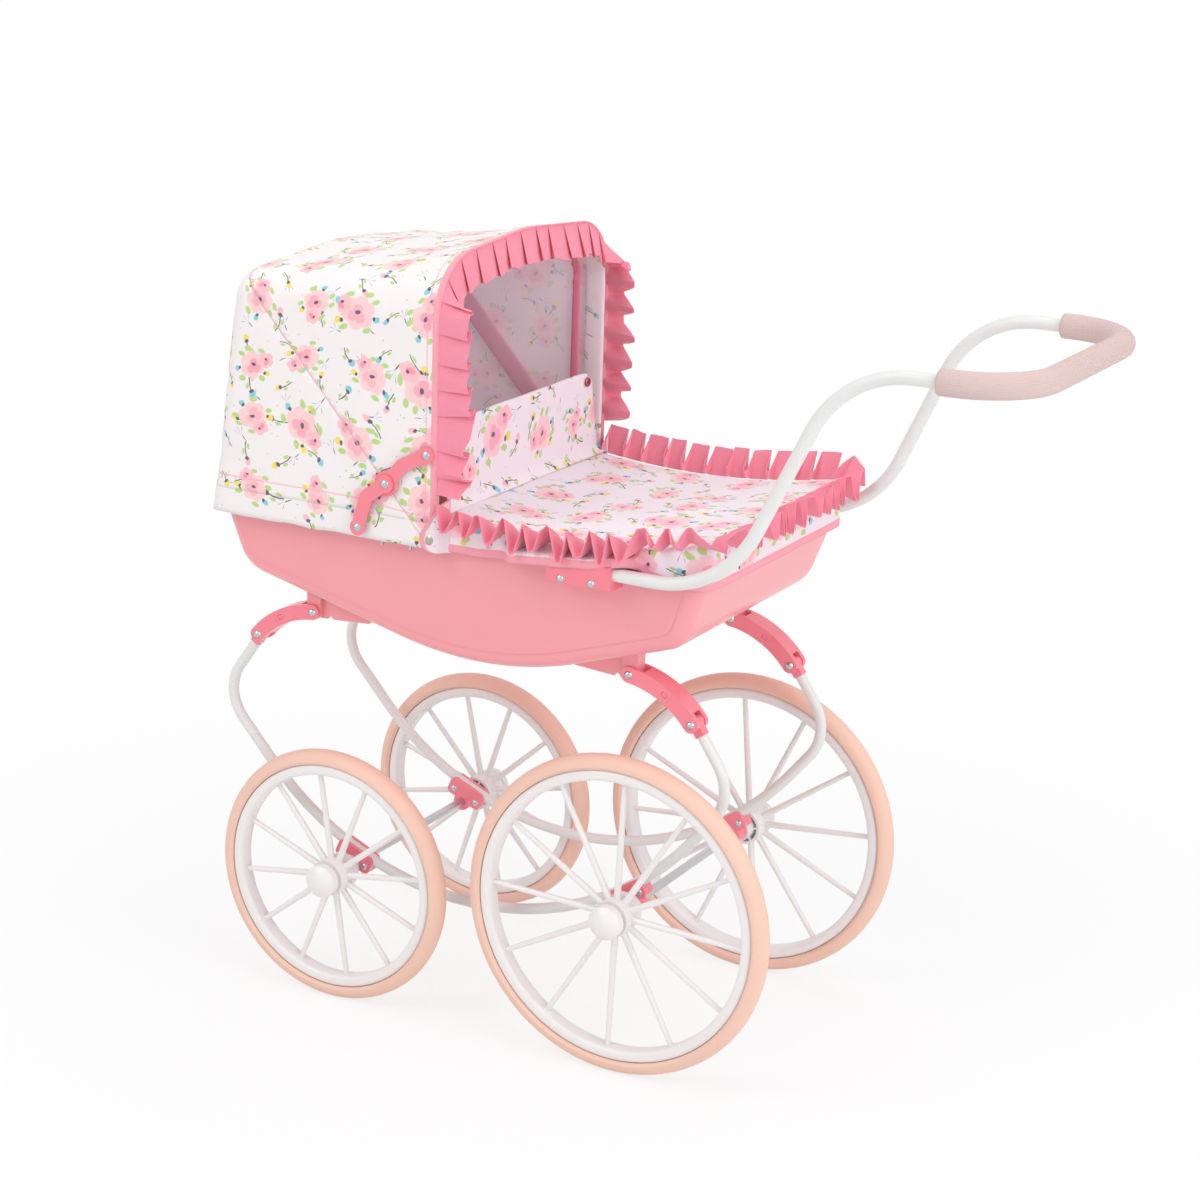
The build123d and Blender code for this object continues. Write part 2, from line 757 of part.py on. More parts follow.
with BuildPart() as tub:
    add(tub_outer.part)
    add(tub_panel.part)
    for top, eye in ((front_arm_top, front_eye), (rear_arm_top, rear_eye)):
        inboard = -1 if eye[0] > top[0] else 1
        plane = side_plane(-spring_y)
        with BuildSketch(plane):
            with Locations(top):
                Circle(lug_length / 2)
                Rectangle(lug_length, lug_height, align=(Align.CENTER, Align.MIN))
        extrude(amount=lug_width / 2, both=True)
        with BuildSketch(plane):
            Polygon(
                (top[0], top[1] - rib_drop),
                (top[0] + inboard * hook_reach, top[1] - rib_drop),
                (top[0] + inboard * rib_length, top[1] - rib_drop + rib_rise),
                (top[0] + inboard * (rib_length + rib_tail), top[1] + lug_height / 2),
                (top[0] + inboard * (rib_length + rib_tail), top[1] + lug_height),
                (top[0], top[1] + lug_height),
                align=None,
            )
            with Locations((top[0] + inboard * hook_reach, top[1] - rib_drop)):
                Circle(hook_r, mode=Mode.SUBTRACT)
        extrude(amount=rib_width / 2, both=True)
    mirror(about=Plane.XZ)
    with BuildSketch(Plane.XY.offset(rim_height)):
        with Locations(((tub_front + tub_rear) / 2, 0)):
            RectangleRounded(
                tub_rear - tub_front + 2 * lip_width, 2 * lip_half_width, tub_edge_r + lip_width
            )
    extrude(amount=-lip_height)
    split(bisect_by=Plane.XY.offset(rim_height), keep=Keep.BOTTOM)
    add(tub_inner.part, mode=Mode.SUBTRACT)
    with BuildSketch(Plane.XZ):
        with Locations(front_arm_top, rear_arm_top):
            Circle(arm_rivet_d / 2 + fit_clearance)
        for x in socket_rivet_x:
            with Locations((x, socket_rivet_z)):
                Circle(socket_rivet_d / 2 + fit_clearance)
    extrude(amount=lip_half_width + lip_width, both=True, mode=Mode.SUBTRACT)
    with BuildSketch(Plane.XY.offset(rim_height)):
        for x in plate_screw_x:
            with Locations((x, -tub_half_width), (x, tub_half_width)):
                Circle(plate_screw_d / 2 + fit_clearance)
    extrude(amount=-plate_screw_depth - fit_clearance, mode=Mode.SUBTRACT)
save(tub, "tub")


# Handle: one tube bent into two swan necks and a crossbar, in sockets beside the rim
def handle_route():
    left = [
        (handle_start, -handle_y, handle_low),
        (handle_low_corner, -handle_y, handle_low),
        (handle_high_corner, -handle_top_y, handle_high),
        (handle_end, -handle_top_y, handle_high),
    ]
    right = [(x, -y, z) for x, y, z in reversed(left)]
    bends = [handle_low_r, handle_high_r, handle_end_r]
    return left + right, bends + bends[::-1]


with BuildPart() as handle_tube:
    corners, bends = handle_route()
    with BuildLine() as route:
        FilletPolyline(*corners, radius=bends)
    with BuildSketch(Plane(route.line ^ 0)):
        Circle(handle_r)
        Circle(handle_r - handle_wall, mode=Mode.SUBTRACT)
    sweep()
save(handle_tube, "handle_tube")

with BuildPart() as handle_grip:
    with BuildLine() as route:
        FilletPolyline(
            (grip_start, -handle_top_y, handle_high),
            (handle_end, -handle_top_y, handle_high),
            (handle_end, handle_top_y, handle_high),
            (grip_start, handle_top_y, handle_high),
            radius=handle_end_r,
        )
    with BuildSketch(Plane(route.line ^ 0)):
        Circle(grip_d / 2)
        Circle(handle_r + fit_clearance, mode=Mode.SUBTRACT)
    sweep()
save(handle_grip, "handle_grip")

with BuildPart() as handle_socket:
    with BuildSketch(Plane.YZ.offset(socket_front)):
        with Locations((-(socket_in + socket_out) / 2, (socket_top + socket_low) / 2)):
            RectangleRounded(socket_out - socket_in, socket_top - socket_low, socket_round)
        foot_top = rim_height - lip_height - fit_clearance
        Polygon(
            (-half_width_at(socket_low) - panel_proud - fit_clearance, socket_low),
            (-half_width_at(foot_top) - panel_proud - fit_clearance, foot_top),
            (-socket_in - socket_round, foot_top),
            (-socket_in - socket_round, socket_low),
            align=None,
        )
    extrude(amount=socket_rear - socket_front)
    with BuildSketch(Plane.YZ.offset(handle_start - fit_clearance)):
        with Locations((-handle_y, handle_low)):
            Circle(handle_r + fit_clearance)
    extrude(amount=socket_rear - handle_start + handle_d, mode=Mode.SUBTRACT)
    with BuildSketch(side_plane(-socket_out)):
        for x in socket_rivet_x:
            with Locations((x, socket_rivet_z)):
                Circle(socket_rivet_d / 2 + fit_clearance)
    extrude(amount=keel_half_width - socket_out, mode=Mode.SUBTRACT)
save_pair(handle_socket, "handle_socket")

# Two rivets a side hold the socket to the wall of the tub
with BuildPart() as handle_rivets:
    wall_in = half_width_at(socket_rivet_z - socket_rivet_head_d / 2) - tub_wall - fit_clearance
    for x in socket_rivet_x:
        add(
            rivet(
                x,
                socket_rivet_z,
                wall_in,
                socket_out + fit_clearance,
                socket_rivet_d,
                socket_rivet_head_d,
                socket_rivet_head_h,
            )
        )
    mirror(about=Plane.XZ)
save(handle_rivets, "handle_rivets")


# Hood hinge plates: screwed down on the rim under the cloth, they carry the bows and the stays' feet
with BuildPart() as hinge_plate:
    with BuildSketch(side_plane(-plate_in)):
        with Locations(((plate_front + plate_rear) / 2, (plate_low + plate_mid) / 2)):
            RectangleRounded(plate_rear - plate_front, plate_mid - plate_low, plate_round)
        with Locations(pivot):
            Circle(bow_eye_d / 2)
            Rectangle(bow_eye_d, pivot[1] - plate_low, align=(Align.CENTER, Align.MAX))
        with Locations(pivot):
            Circle(bow_pin_d / 2 + fit_clearance, mode=Mode.SUBTRACT)
        with Locations(stay_foot):
            Circle(stay_rivet_d / 2 + fit_clearance, mode=Mode.SUBTRACT)
    extrude(amount=plate_thickness)
    foot_width = plate_out - tub_half_width + tub_wall
    with BuildSketch(Plane.XY.offset(plate_low)):
        with Locations(((plate_front + plate_rear) / 2, -plate_out)):
            Rectangle(
                plate_rear - plate_front - 2 * plate_round, foot_width, align=(Align.CENTER, Align.MIN)
            )
        for x in plate_screw_x:
            with Locations((x, -tub_half_width)):
                Circle(plate_screw_d / 2 + fit_clearance, mode=Mode.SUBTRACT)
    extrude(amount=plate_foot)
save_pair(hinge_plate, "hinge_plate")

with BuildPart() as hinge_plate_screws:
    for x in plate_screw_x:
        shank = plate_screw_depth + side_clearance + plate_foot + plate_screw_head_h
        with Locations((x, -tub_half_width, rim_height - plate_screw_depth)):
            Cylinder(plate_screw_d / 2, shank, align=(Align.CENTER, Align.CENTER, Align.MIN))
        with Locations((x, -tub_half_width, plate_low + plate_foot)):
            Cylinder(
                plate_screw_head_d / 2, plate_screw_head_h, align=(Align.CENTER, Align.CENTER, Align.MIN)
            )
    mirror(about=Plane.XZ)
save(hinge_plate_screws, "hinge_plate_screws")

with BuildPart() as hood_pivot_pins:
    add(
        rivet(
            pivot[0],
            pivot[1],
            plate_in - fit_clearance,
            front_bow_out + side_clearance,
            bow_pin_d,
            bow_pin_head_d,
            bow_pin_head_h,
        )
    )
    mirror(about=Plane.XZ)
save(hood_pivot_pins, "hood_pivot_pins")


# Hood bows: flat strips bent to an arch, each with an eye on the pivot pin at both ends.
# The plane's local x is across the pram and its local y runs out from the pivot.
def bow_plane(angle):
    out = heading(angle)
    return Plane(origin=(pivot[0], 0, pivot[1]), x_dir=(0, 1, 0), z_dir=(out[1], 0, -out[0]))


def make_bow(name, angle, lead, half_width, reach, crown, corner_r, holes):
    arch = [(-half_width, 0), (-half_width, reach), (0, reach + crown), (half_width, reach), (half_width, 0)]
    with BuildPart() as bow:
        with BuildSketch(bow_plane(angle).offset(lead)):
            with BuildLine():
                rim = FilletPolyline(*arch, radius=[corner_r, hood_crown_r, corner_r])
                Line(rim @ 1, rim @ 0)
            make_face()
            offset(amount=-bow_thickness, mode=Mode.SUBTRACT)
            with Locations((0, 0)):
                Rectangle(2 * half_width - 2 * bow_thickness, 2 * bow_eye_d, mode=Mode.SUBTRACT)
        extrude(amount=bow_width / 2, both=True)
        for side in (-1, 1):
            with BuildSketch(side_plane(side * (half_width - fit_clearance))):
                with Locations(pivot):
                    Circle(bow_eye_d / 2)
                    if lead:
                        Rectangle(lead, bow_eye_d, align=(Align.MIN, Align.CENTER))
            extrude(amount=side * (bow_thickness - 2 * fit_clearance))
        with BuildSketch(Plane.XZ):
            with Locations(pivot):
                Circle(bow_pin_d / 2 + run_clearance)
            for hole in holes:
                with Locations(hole):
                    Circle(stay_rivet_d / 2 + fit_clearance)
        extrude(amount=hood_half_width, both=True, mode=Mode.SUBTRACT)
    save(bow, name)


front_bow_x = pivot[0] + front_bow_lead
front_bow_reach = hood_shoulder - pivot[1] - hood_slope * (hood_front - front_bow_x) - 3 * cloth
make_bow(
    "front_bow", 90, front_bow_lead, front_bow_out, front_bow_reach, hood_crown, hood_shoulder_r, [stay_head]
)
make_bow(
    "rear_bow", rear_bow_angle, 0, rear_bow_out, rear_bow_reach, rear_bow_crown, rear_bow_corner_r, []
)


# Hood cloth: an arched sheet over the bows with a slanting back, open at the front and below.
# Its corners are wide at the front arch and tighter at the back.
def hood_arch(x, inset):
    fall = hood_slope * (hood_front - x)
    share = (hood_front - x) / (hood_front - hood_rear_top)
    corner_r = hood_shoulder_r + (hood_back_shoulder_r - hood_shoulder_r) * share - inset
    half = hood_half_width - inset
    low = hood_skirt_low - inset * over_rim - over_rim
    arch = [
        (-half, low),
        (-half, hood_shoulder - inset - fall),
        (0, hood_top - inset - fall),
        (half, hood_shoulder - inset - fall),
        (half, low),
    ]
    with BuildSketch(Plane.YZ.offset(x)) as section:
        with BuildLine():
            rim = FilletPolyline(*arch, radius=[corner_r, hood_crown_r, corner_r])
            Line(rim @ 1, rim @ 0)
        make_face()
    return section.sketch


# The shape is what the arched tunnel, the side outline and the rounded plan have in common
def hood_form(inset):
    front = hood_front + 2 * inset
    low = hood_skirt_low - inset * over_rim
    half = hood_half_width - inset
    back_angle = degrees(atan2(hood_shoulder - hood_skirt_low, hood_rear_top - hood_rear_low))
    back_low = meet((hood_rear_low + inset, hood_skirt_low), back_angle, (0, low), 0)
    roof_angle = degrees(atan2(hood_slope, 1))
    roof_front = meet((hood_front, hood_top - inset), roof_angle, (front, low), 90)
    roof_back = meet(roof_front, roof_angle, back_low, back_angle)
    back_r = hood_back_r - inset
    with BuildPart() as form:
        loft([hood_arch(front, inset), hood_arch(hood_rear_low - over_rim, inset)], ruled=True)
        with BuildSketch(Plane.XZ):
            with BuildLine():
                side = FilletPolyline(roof_front, roof_back, back_low, radius=back_r)
                Polyline(side @ 1, (front, low), side @ 0)
            make_face()
        extrude(amount=2 * hood_half_width, both=True, mode=Mode.INTERSECT)
        with BuildSketch(Plane.XY.offset(low)):
            with BuildLine():
                plan = FilletPolyline(
                    (front + over_rim, -half - side_clearance),
                    (back_low[0] - side_clearance, -half - side_clearance),
                    (back_low[0] - side_clearance, half + side_clearance),
                    (front + over_rim, half + side_clearance),
                    radius=hood_corner_r - inset,
                )
                Line(plan @ 1, plan @ 0)
            make_face()
        lean = heading(back_angle)
        extrude(amount=2 * hood_top, dir=(lean[0], 0, lean[1]), mode=Mode.INTERSECT)
    return form


hood_outside = hood_form(0)
hood_inside = hood_form(cloth)
bow_out = heading(rear_bow_angle)
seam_plane = Plane(origin=(pivot[0], 0, pivot[1]), z_dir=(bow_out[1], 0, -bow_out[0]))


def hood_piece(name, low, high, seam, keep):
    with BuildPart() as piece:
        add(hood_outside.part)
        add(hood_inside.part, mode=Mode.SUBTRACT)
        if low:
            split(bisect_by=Plane.XY.offset(low), keep=Keep.TOP)
        if high:
            split(bisect_by=Plane.XY.offset(high), keep=Keep.BOTTOM)
        if seam:
            split(bisect_by=seam, keep=keep)
        with BuildSketch(Plane.XZ):
            with Locations(stay_head, stay_foot):
                Circle(stay_hole_d / 2)
            with Locations(stud_at):
                Circle(stud_post_d / 2 + fit_clearance)
        extrude(amount=2 * hood_half_width, both=True, mode=Mode.SUBTRACT)
    save(piece, name)


skirt_seam = hood_skirt_top + hood_seam_gap
hood_piece("hood_skirt", 0, hood_skirt_top, None, None)
hood_piece("hood_front_cloth", skirt_seam, 0, seam_plane.offset(hood_seam_gap / 2), Keep.TOP)
hood_piece("hood_back_cloth", skirt_seam, 0, seam_plane.offset(-hood_seam_gap / 2), Keep.BOTTOM)

with BuildPart() as press_studs:
    add(
        rivet(
            stud_at[0],
            stud_at[1],
            hood_half_width - cloth - fit_clearance,
            hood_half_width + fit_clearance,
            stud_post_d,
            stud_d,
            stud_h,
        )
    )
    mirror(about=Plane.XZ)
save(press_studs, "press_studs")


# Hood stays: two bent links a side, which lock when the hood is up
def stay_bar(start, end):
    reach = hypot(end[0] - start[0], end[1] - start[1])
    turn = degrees(atan2(end[1] - start[1], end[0] - start[0]))
    with Locations(((start[0] + end[0]) / 2, (start[1] + end[1]) / 2)):
        SlotCenterToCenter(reach, stay_width, rotation=turn)


def make_stay(name, outer_end, bend, knee_d, inner_face):
    with BuildPart() as link:
        with BuildSketch(side_plane(-inner_face)):
            stay_bar(outer_end, bend)
            stay_bar(bend, stay_mid)
            with Locations(outer_end):
                Circle(stay_eye_d / 2)
            with Locations(stay_mid):
                Circle(knee_d / 2)
            with Locations(outer_end):
                Circle(stay_rivet_d / 2 + run_clearance, mode=Mode.SUBTRACT)
            with Locations(stay_mid):
                Circle(stay_rivet_d / 2 + fit_clearance, mode=Mode.SUBTRACT)
        extrude(amount=stay_thickness)
    save_pair(link, name)


make_stay("lower_stay", stay_foot, lower_stay_bend, lower_knee_d, lower_stay_in)
make_stay("upper_stay", stay_head, upper_stay_bend, upper_knee_d, upper_stay_in)


# The middle rivets sit in the lower stays and turn in the upper ones
with BuildPart() as stay_middle_rivet:
    dome_r, dome_angle = dome(stay_rivet_head_d, stay_rivet_head_h)
    head_in = lower_stay_out + fit_clearance
    with BuildSketch(turning_plane(stay_mid[0], 0, stay_mid[1])):
        with BuildLine():
            CenterArc((head_in + stay_rivet_head_h - dome_r, 0), dome_r, 0, dome_angle)
            Polyline(
                (head_in, stay_rivet_head_d / 2),
                (head_in, stay_rivet_d / 2),
                (lower_stay_in, stay_rivet_d / 2),
                (lower_stay_in, 0),
                (head_in + stay_rivet_head_h, 0),
            )
        make_face()
    revolve(axis=cross_axis(stay_mid[0], stay_mid[1]))
save_pair(stay_middle_rivet, "stay_middle_rivet")


def make_stay_rivets(name, spot, grip_in, grip_out):
    with BuildPart() as rivets:
        add(
            rivet(
                spot[0],
                spot[1],
                grip_in,
                grip_out + fit_clearance,
                stay_rivet_d,
                stay_rivet_head_d,
                stay_rivet_head_h,
            )
        )
        mirror(about=Plane.XZ)
    save(rivets, name)


make_stay_rivets("stay_foot_rivets", stay_foot, plate_in, lower_stay_out)
make_stay_rivets("stay_head_rivets", stay_head, front_bow_in, upper_stay_out)


# Apron: a cloth cover with hanging sides over the handle end of the tub
def apron_top_line(rise, front, rear):
    return ThreePointArc(
        (front, apron_front_top + rise), (apron_mid_x, apron_mid_top + rise), (rear, apron_rear_top + rise)
    )


def apron_form(inset):
    front = apron_front - inset * over_rim
    rear = apron_rear - inset
    low = apron_hem - inset * over_rim
    with BuildPart() as form:
        with BuildSketch(Plane.XZ):
            with BuildLine():
                top = apron_top_line(-inset, front, rear)
                Polyline(top @ 1, (rear, low), (front, low), top @ 0)
            make_face()
        extrude(amount=apron_half_width - inset, both=True)
        upright = edges().filter_by(Axis.Z).group_by(Axis.X)[-1]
        fillet(upright, apron_corner_r - inset)
        top_face = faces().sort_by(Axis.Z)[-1]
        fillet(top_face.edges().sort_by(Axis.X)[1:], apron_edge_r - inset)
    return form


apron_outside = apron_form(0)
apron_inside = apron_form(cloth)

with BuildPart() as apron:
    add(apron_outside.part)
    add(apron_inside.part, mode=Mode.SUBTRACT)
    with BuildSketch(Plane.XZ):
        Polygon(
            (socket_front - 2 * apron_notch_run, apron_hem - cloth),
            (socket_front - apron_notch_run, apron_notch),
            (socket_rear + apron_notch_run, apron_notch),
            (socket_rear + 2 * apron_notch_run, apron_hem - cloth),
            align=None,
        )
    extrude(amount=socket_out, both=True, mode=Mode.SUBTRACT)
save(apron, "apron")

with BuildPart() as apron_flap:
    with BuildSketch(Plane.YZ.offset(flap_x)):
        Polygon(
            (-flap_low_half, flap_low),
            (flap_low_half, flap_low),
            (flap_high_half, flap_high),
            (-flap_high_half, flap_high),
            align=None,
        )
        fillet(vertices().group_by(Axis.Z)[-1], flap_corner_r)
    extrude(amount=flap_thickness / 2, both=True)
    with BuildSketch(Plane.XZ):
        with Locations((flap_x, flap_low)):
            Circle(flap_thickness / 2 + fit_clearance)
    extrude(amount=flap_low_half, both=True)
save(apron_flap, "apron_flap")

with BuildPart() as flap_studs:
    stud_y = flap_high_half - flap_stud_inset
    with BuildSketch(Plane.YZ.offset(flap_x + flap_thickness / 2)):
        with Locations((-stud_y, flap_high - flap_stud_inset), (stud_y, flap_high - flap_stud_inset)):
            Circle(flap_stud_d / 2)
    extrude(amount=stud_h)
    fillet(faces().group_by(Axis.X)[-1].edges(), stud_h / 2)
save(flap_studs, "flap_studs")


# Frills: a pleated strip that zigzags along an edge
def pleated_outline(path, wave):
    count = max(2, round(path.length / frill_pleat)) * 2
    outer = []
    inner = []
    for i in range(count + 1):
        place = path @ (i / count)
        run = path % (i / count)
        shift = wave if i % 2 else -wave
        outer.append((place.X - run.Y * shift, place.Y + run.X * shift))
        shift = shift + frill_thickness
        inner.append((place.X - run.Y * shift, place.Y + run.X * shift))
    return outer + inner[::-1]


frill_half = hood_half_width - cloth - hood_frill_wave - frill_thickness
frill_drop = hood_half_width - frill_half
hood_frill_path = FilletPolyline(
    (-frill_half, hood_frill_low),
    (-frill_half, hood_shoulder - frill_drop),
    (0, hood_top - frill_drop),
    (frill_half, hood_shoulder - frill_drop),
    (frill_half, hood_frill_low),
    radius=[hood_shoulder_r - frill_drop, hood_crown_r, hood_shoulder_r - frill_drop],
)

with BuildPart() as hood_frill:
    with BuildSketch(Plane.YZ.offset(hood_front + soft_clearance)):
        Polygon(*pleated_outline(hood_frill_path, hood_frill_wave), align=None)
    extrude(amount=hood_frill_depth)
save(hood_frill, "hood_frill")

apron_frill_side = apron_half_width - apron_frill_wave - apron_edge_r
apron_frill_rear = apron_rear - apron_frill_wave - apron_edge_r
apron_frill_path = FilletPolyline(
    (apron_frill_start, -apron_frill_side),
    (apron_frill_rear, -apron_frill_side),
    (apron_frill_rear, apron_frill_side),
    (apron_frill_start, apron_frill_side),
    radius=apron_corner_r,
)

with BuildPart() as apron_frill:
    with BuildSketch(Plane.XY.offset(apron_mid_top)):
        Polygon(*pleated_outline(apron_frill_path, apron_frill_wave), align=None)
    extrude(amount=apron_rear_top - apron_mid_top + 2 * apron_frill_height)
    with BuildSketch(Plane.XZ):
        with BuildLine():
            low = apron_top_line(soft_clearance, apron_front, apron_rear)
            high = apron_top_line(soft_clearance + apron_frill_height, apron_front, apron_rear)
            Line(low @ 0, high @ 0)
            Line(low @ 1, high @ 1)
        make_face()
    extrude(amount=2 * apron_half_width, both=True, mode=Mode.INTERSECT)
save(apron_frill, "apron_frill")
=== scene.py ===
import bpy
import bmesh
import math
from mathutils import Matrix, Vector, noise


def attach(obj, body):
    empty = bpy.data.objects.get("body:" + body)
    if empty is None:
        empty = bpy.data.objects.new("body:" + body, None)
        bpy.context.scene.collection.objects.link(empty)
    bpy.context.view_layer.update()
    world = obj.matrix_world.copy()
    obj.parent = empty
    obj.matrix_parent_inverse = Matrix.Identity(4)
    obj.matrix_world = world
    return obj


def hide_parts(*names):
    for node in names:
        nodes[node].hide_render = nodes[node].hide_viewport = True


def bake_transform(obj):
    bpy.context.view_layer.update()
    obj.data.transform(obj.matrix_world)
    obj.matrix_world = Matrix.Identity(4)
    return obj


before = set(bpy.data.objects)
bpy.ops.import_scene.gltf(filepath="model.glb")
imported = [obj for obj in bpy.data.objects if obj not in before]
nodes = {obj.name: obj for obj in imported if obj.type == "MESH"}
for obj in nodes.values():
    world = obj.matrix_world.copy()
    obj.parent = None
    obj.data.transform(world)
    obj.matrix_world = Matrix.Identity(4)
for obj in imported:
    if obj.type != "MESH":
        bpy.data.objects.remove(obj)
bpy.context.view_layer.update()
bpy.ops.object.select_all(action="DESELECT")
print("frame loaded:", len(nodes), "nodes")


# Camera at the photo's angle
cameraSetup = {
    "place": (1.2412, -2.2079, 1.1418), "azimuth": 28.32, "elevation": 16.65, "roll": 1.71, "lens": 85.38,
}


def placeCamera(setup):
    azimuth = math.radians(setup["azimuth"])
    elevation = math.radians(setup["elevation"])
    roll = math.radians(setup["roll"])
    level = math.cos(elevation)
    back = Vector((math.sin(azimuth) * level, -math.cos(azimuth) * level, math.sin(elevation)))
    right = Vector((math.cos(azimuth), math.sin(azimuth), 0))
    up = back.cross(right)
    side = right * math.cos(roll) + up * math.sin(roll)
    top = up * math.cos(roll) - right * math.sin(roll)
    data = bpy.data.cameras.new("photoCamera")
    data.lens = setup["lens"]
    data.sensor_width = 36
    eye = bpy.data.objects.new("photoCamera", data)
    bpy.context.collection.objects.link(eye)
    turn = Matrix((side, top, back)).transposed().to_4x4()
    turn.translation = Vector(setup["place"])
    eye.matrix_world = turn
    bpy.context.scene.camera = eye


placeCamera(cameraSetup)
bpy.context.scene.view_settings.view_transform = "Standard"


# Small helpers for shader trees
def tone(*levels):
    shares = [level / 255 for level in levels]
    return tuple(s / 12.92 if s <= 0.04045 else ((s + 0.055) / 1.055) ** 2.4 for s in shares) + (1.0,)


def feed(tree, node, inputs):
    for name, value in inputs.items():
        if isinstance(value, bpy.types.NodeSocket):
            tree.links.new(value, node.inputs[name])
        else:
            node.inputs[name].default_value = value


def addNode(tree, kind, inputs=None, **settings):
    node = tree.nodes.new("ShaderNode" + kind)
    for name, value in settings.items():
        setattr(node, name, value)
    feed(tree, node, inputs or {})
    return node


def calc(tree, operation, first, second=0.0, third=0.0, clamp=False):
    node = addNode(tree, "Math", {0: first, 1: second, 2: third}, operation=operation, use_clamp=clamp)
    return node.outputs[0]


def vectorCalc(tree, operation, first, second):
    return addNode(tree, "VectorMath", {0: first, 1: second}, operation=operation).outputs[0]


def blendColour(tree, share, under, over, mode="MIX"):
    node = addNode(tree, "Mix", {0: share, 6: under, 7: over}, data_type="RGBA", blend_type=mode)
    return node.outputs[2]


def newGroup(name, inputs, outputs):
    tree = bpy.data.node_groups.new(name, "ShaderNodeTree")
    for label, kind, value in inputs:
        socket = tree.interface.new_socket(label, in_out="INPUT", socket_type="NodeSocket" + kind)
        if value is not None:
            socket.default_value = value
    for label, kind in outputs:
        tree.interface.new_socket(label, in_out="OUTPUT", socket_type="NodeSocket" + kind)
    return tree, tree.nodes.new("NodeGroupInput"), tree.nodes.new("NodeGroupOutput")


def useGroup(tree, group, inputs):
    return addNode(tree, "Group", inputs, node_tree=group)


finishes = {}


def newFinish(name):
    finishes[name] = bpy.data.materials.new(name)
    finishes[name].use_nodes = True
    tree = finishes[name].node_tree
    return tree, tree.nodes["Principled BSDF"]


# Shared effects: a fine uneven height for moulded and painted faces, a thread weave, and a scattered sprig print
def buildGrain():
    inputs = [("Vector", "Vector", None), ("Scale", "Float", 900.0)]
    tree, ins, outs = newGroup("fineGrain", inputs, [("Height", "Float"), ("Patch", "Float")])
    place = ins.outputs["Vector"]
    small = addNode(tree, "TexNoise", {"Vector": place, "Scale": ins.outputs["Scale"], "Detail": 3.0})
    wide = addNode(tree, "TexNoise", {"Vector": place, "Scale": 14.0, "Detail": 2.0})
    feed(tree, outs, {"Height": small.outputs["Fac"], "Patch": wide.outputs["Fac"]})
    return tree


def buildWeave():
    inputs = [("Vector", "Vector", None), ("Threads", "Float", 1500.0)]
    tree, ins, outs = newGroup("threadWeave", inputs, [("Height", "Float"), ("Slub", "Float")])
    place = ins.outputs["Vector"]
    yarn = {"Vector": place, "Scale": ins.outputs["Threads"], "Distortion": 1.2, "Detail": 1.0}
    warp = addNode(tree, "TexWave", yarn, bands_direction="X")
    weft = addNode(tree, "TexWave", yarn, bands_direction="Y")
    slub = addNode(tree, "TexNoise", {"Vector": place, "Scale": 260.0, "Detail": 4.0})
    threads = calc(tree, "MULTIPLY", warp.outputs["Fac"], weft.outputs["Fac"])
    height = calc(tree, "ADD", calc(tree, "MULTIPLY", threads, 0.5), slub.outputs["Fac"])
    feed(tree, outs, {"Height": height, "Slub": slub.outputs["Fac"]})
    return tree


printSetup = {
    "ground": tone(244, 238, 238),
    "blossom": tone(253, 208, 209),
    "petal": tone(252, 192, 199),
    "blush": tone(249, 158, 178),
    "leaf": tone(188, 218, 136),
    "sun": tone(246, 224, 108),
    "sky": tone(138, 210, 220),
    "spray": tone(158, 180, 198),
    "twig": tone(106, 98, 112),
}


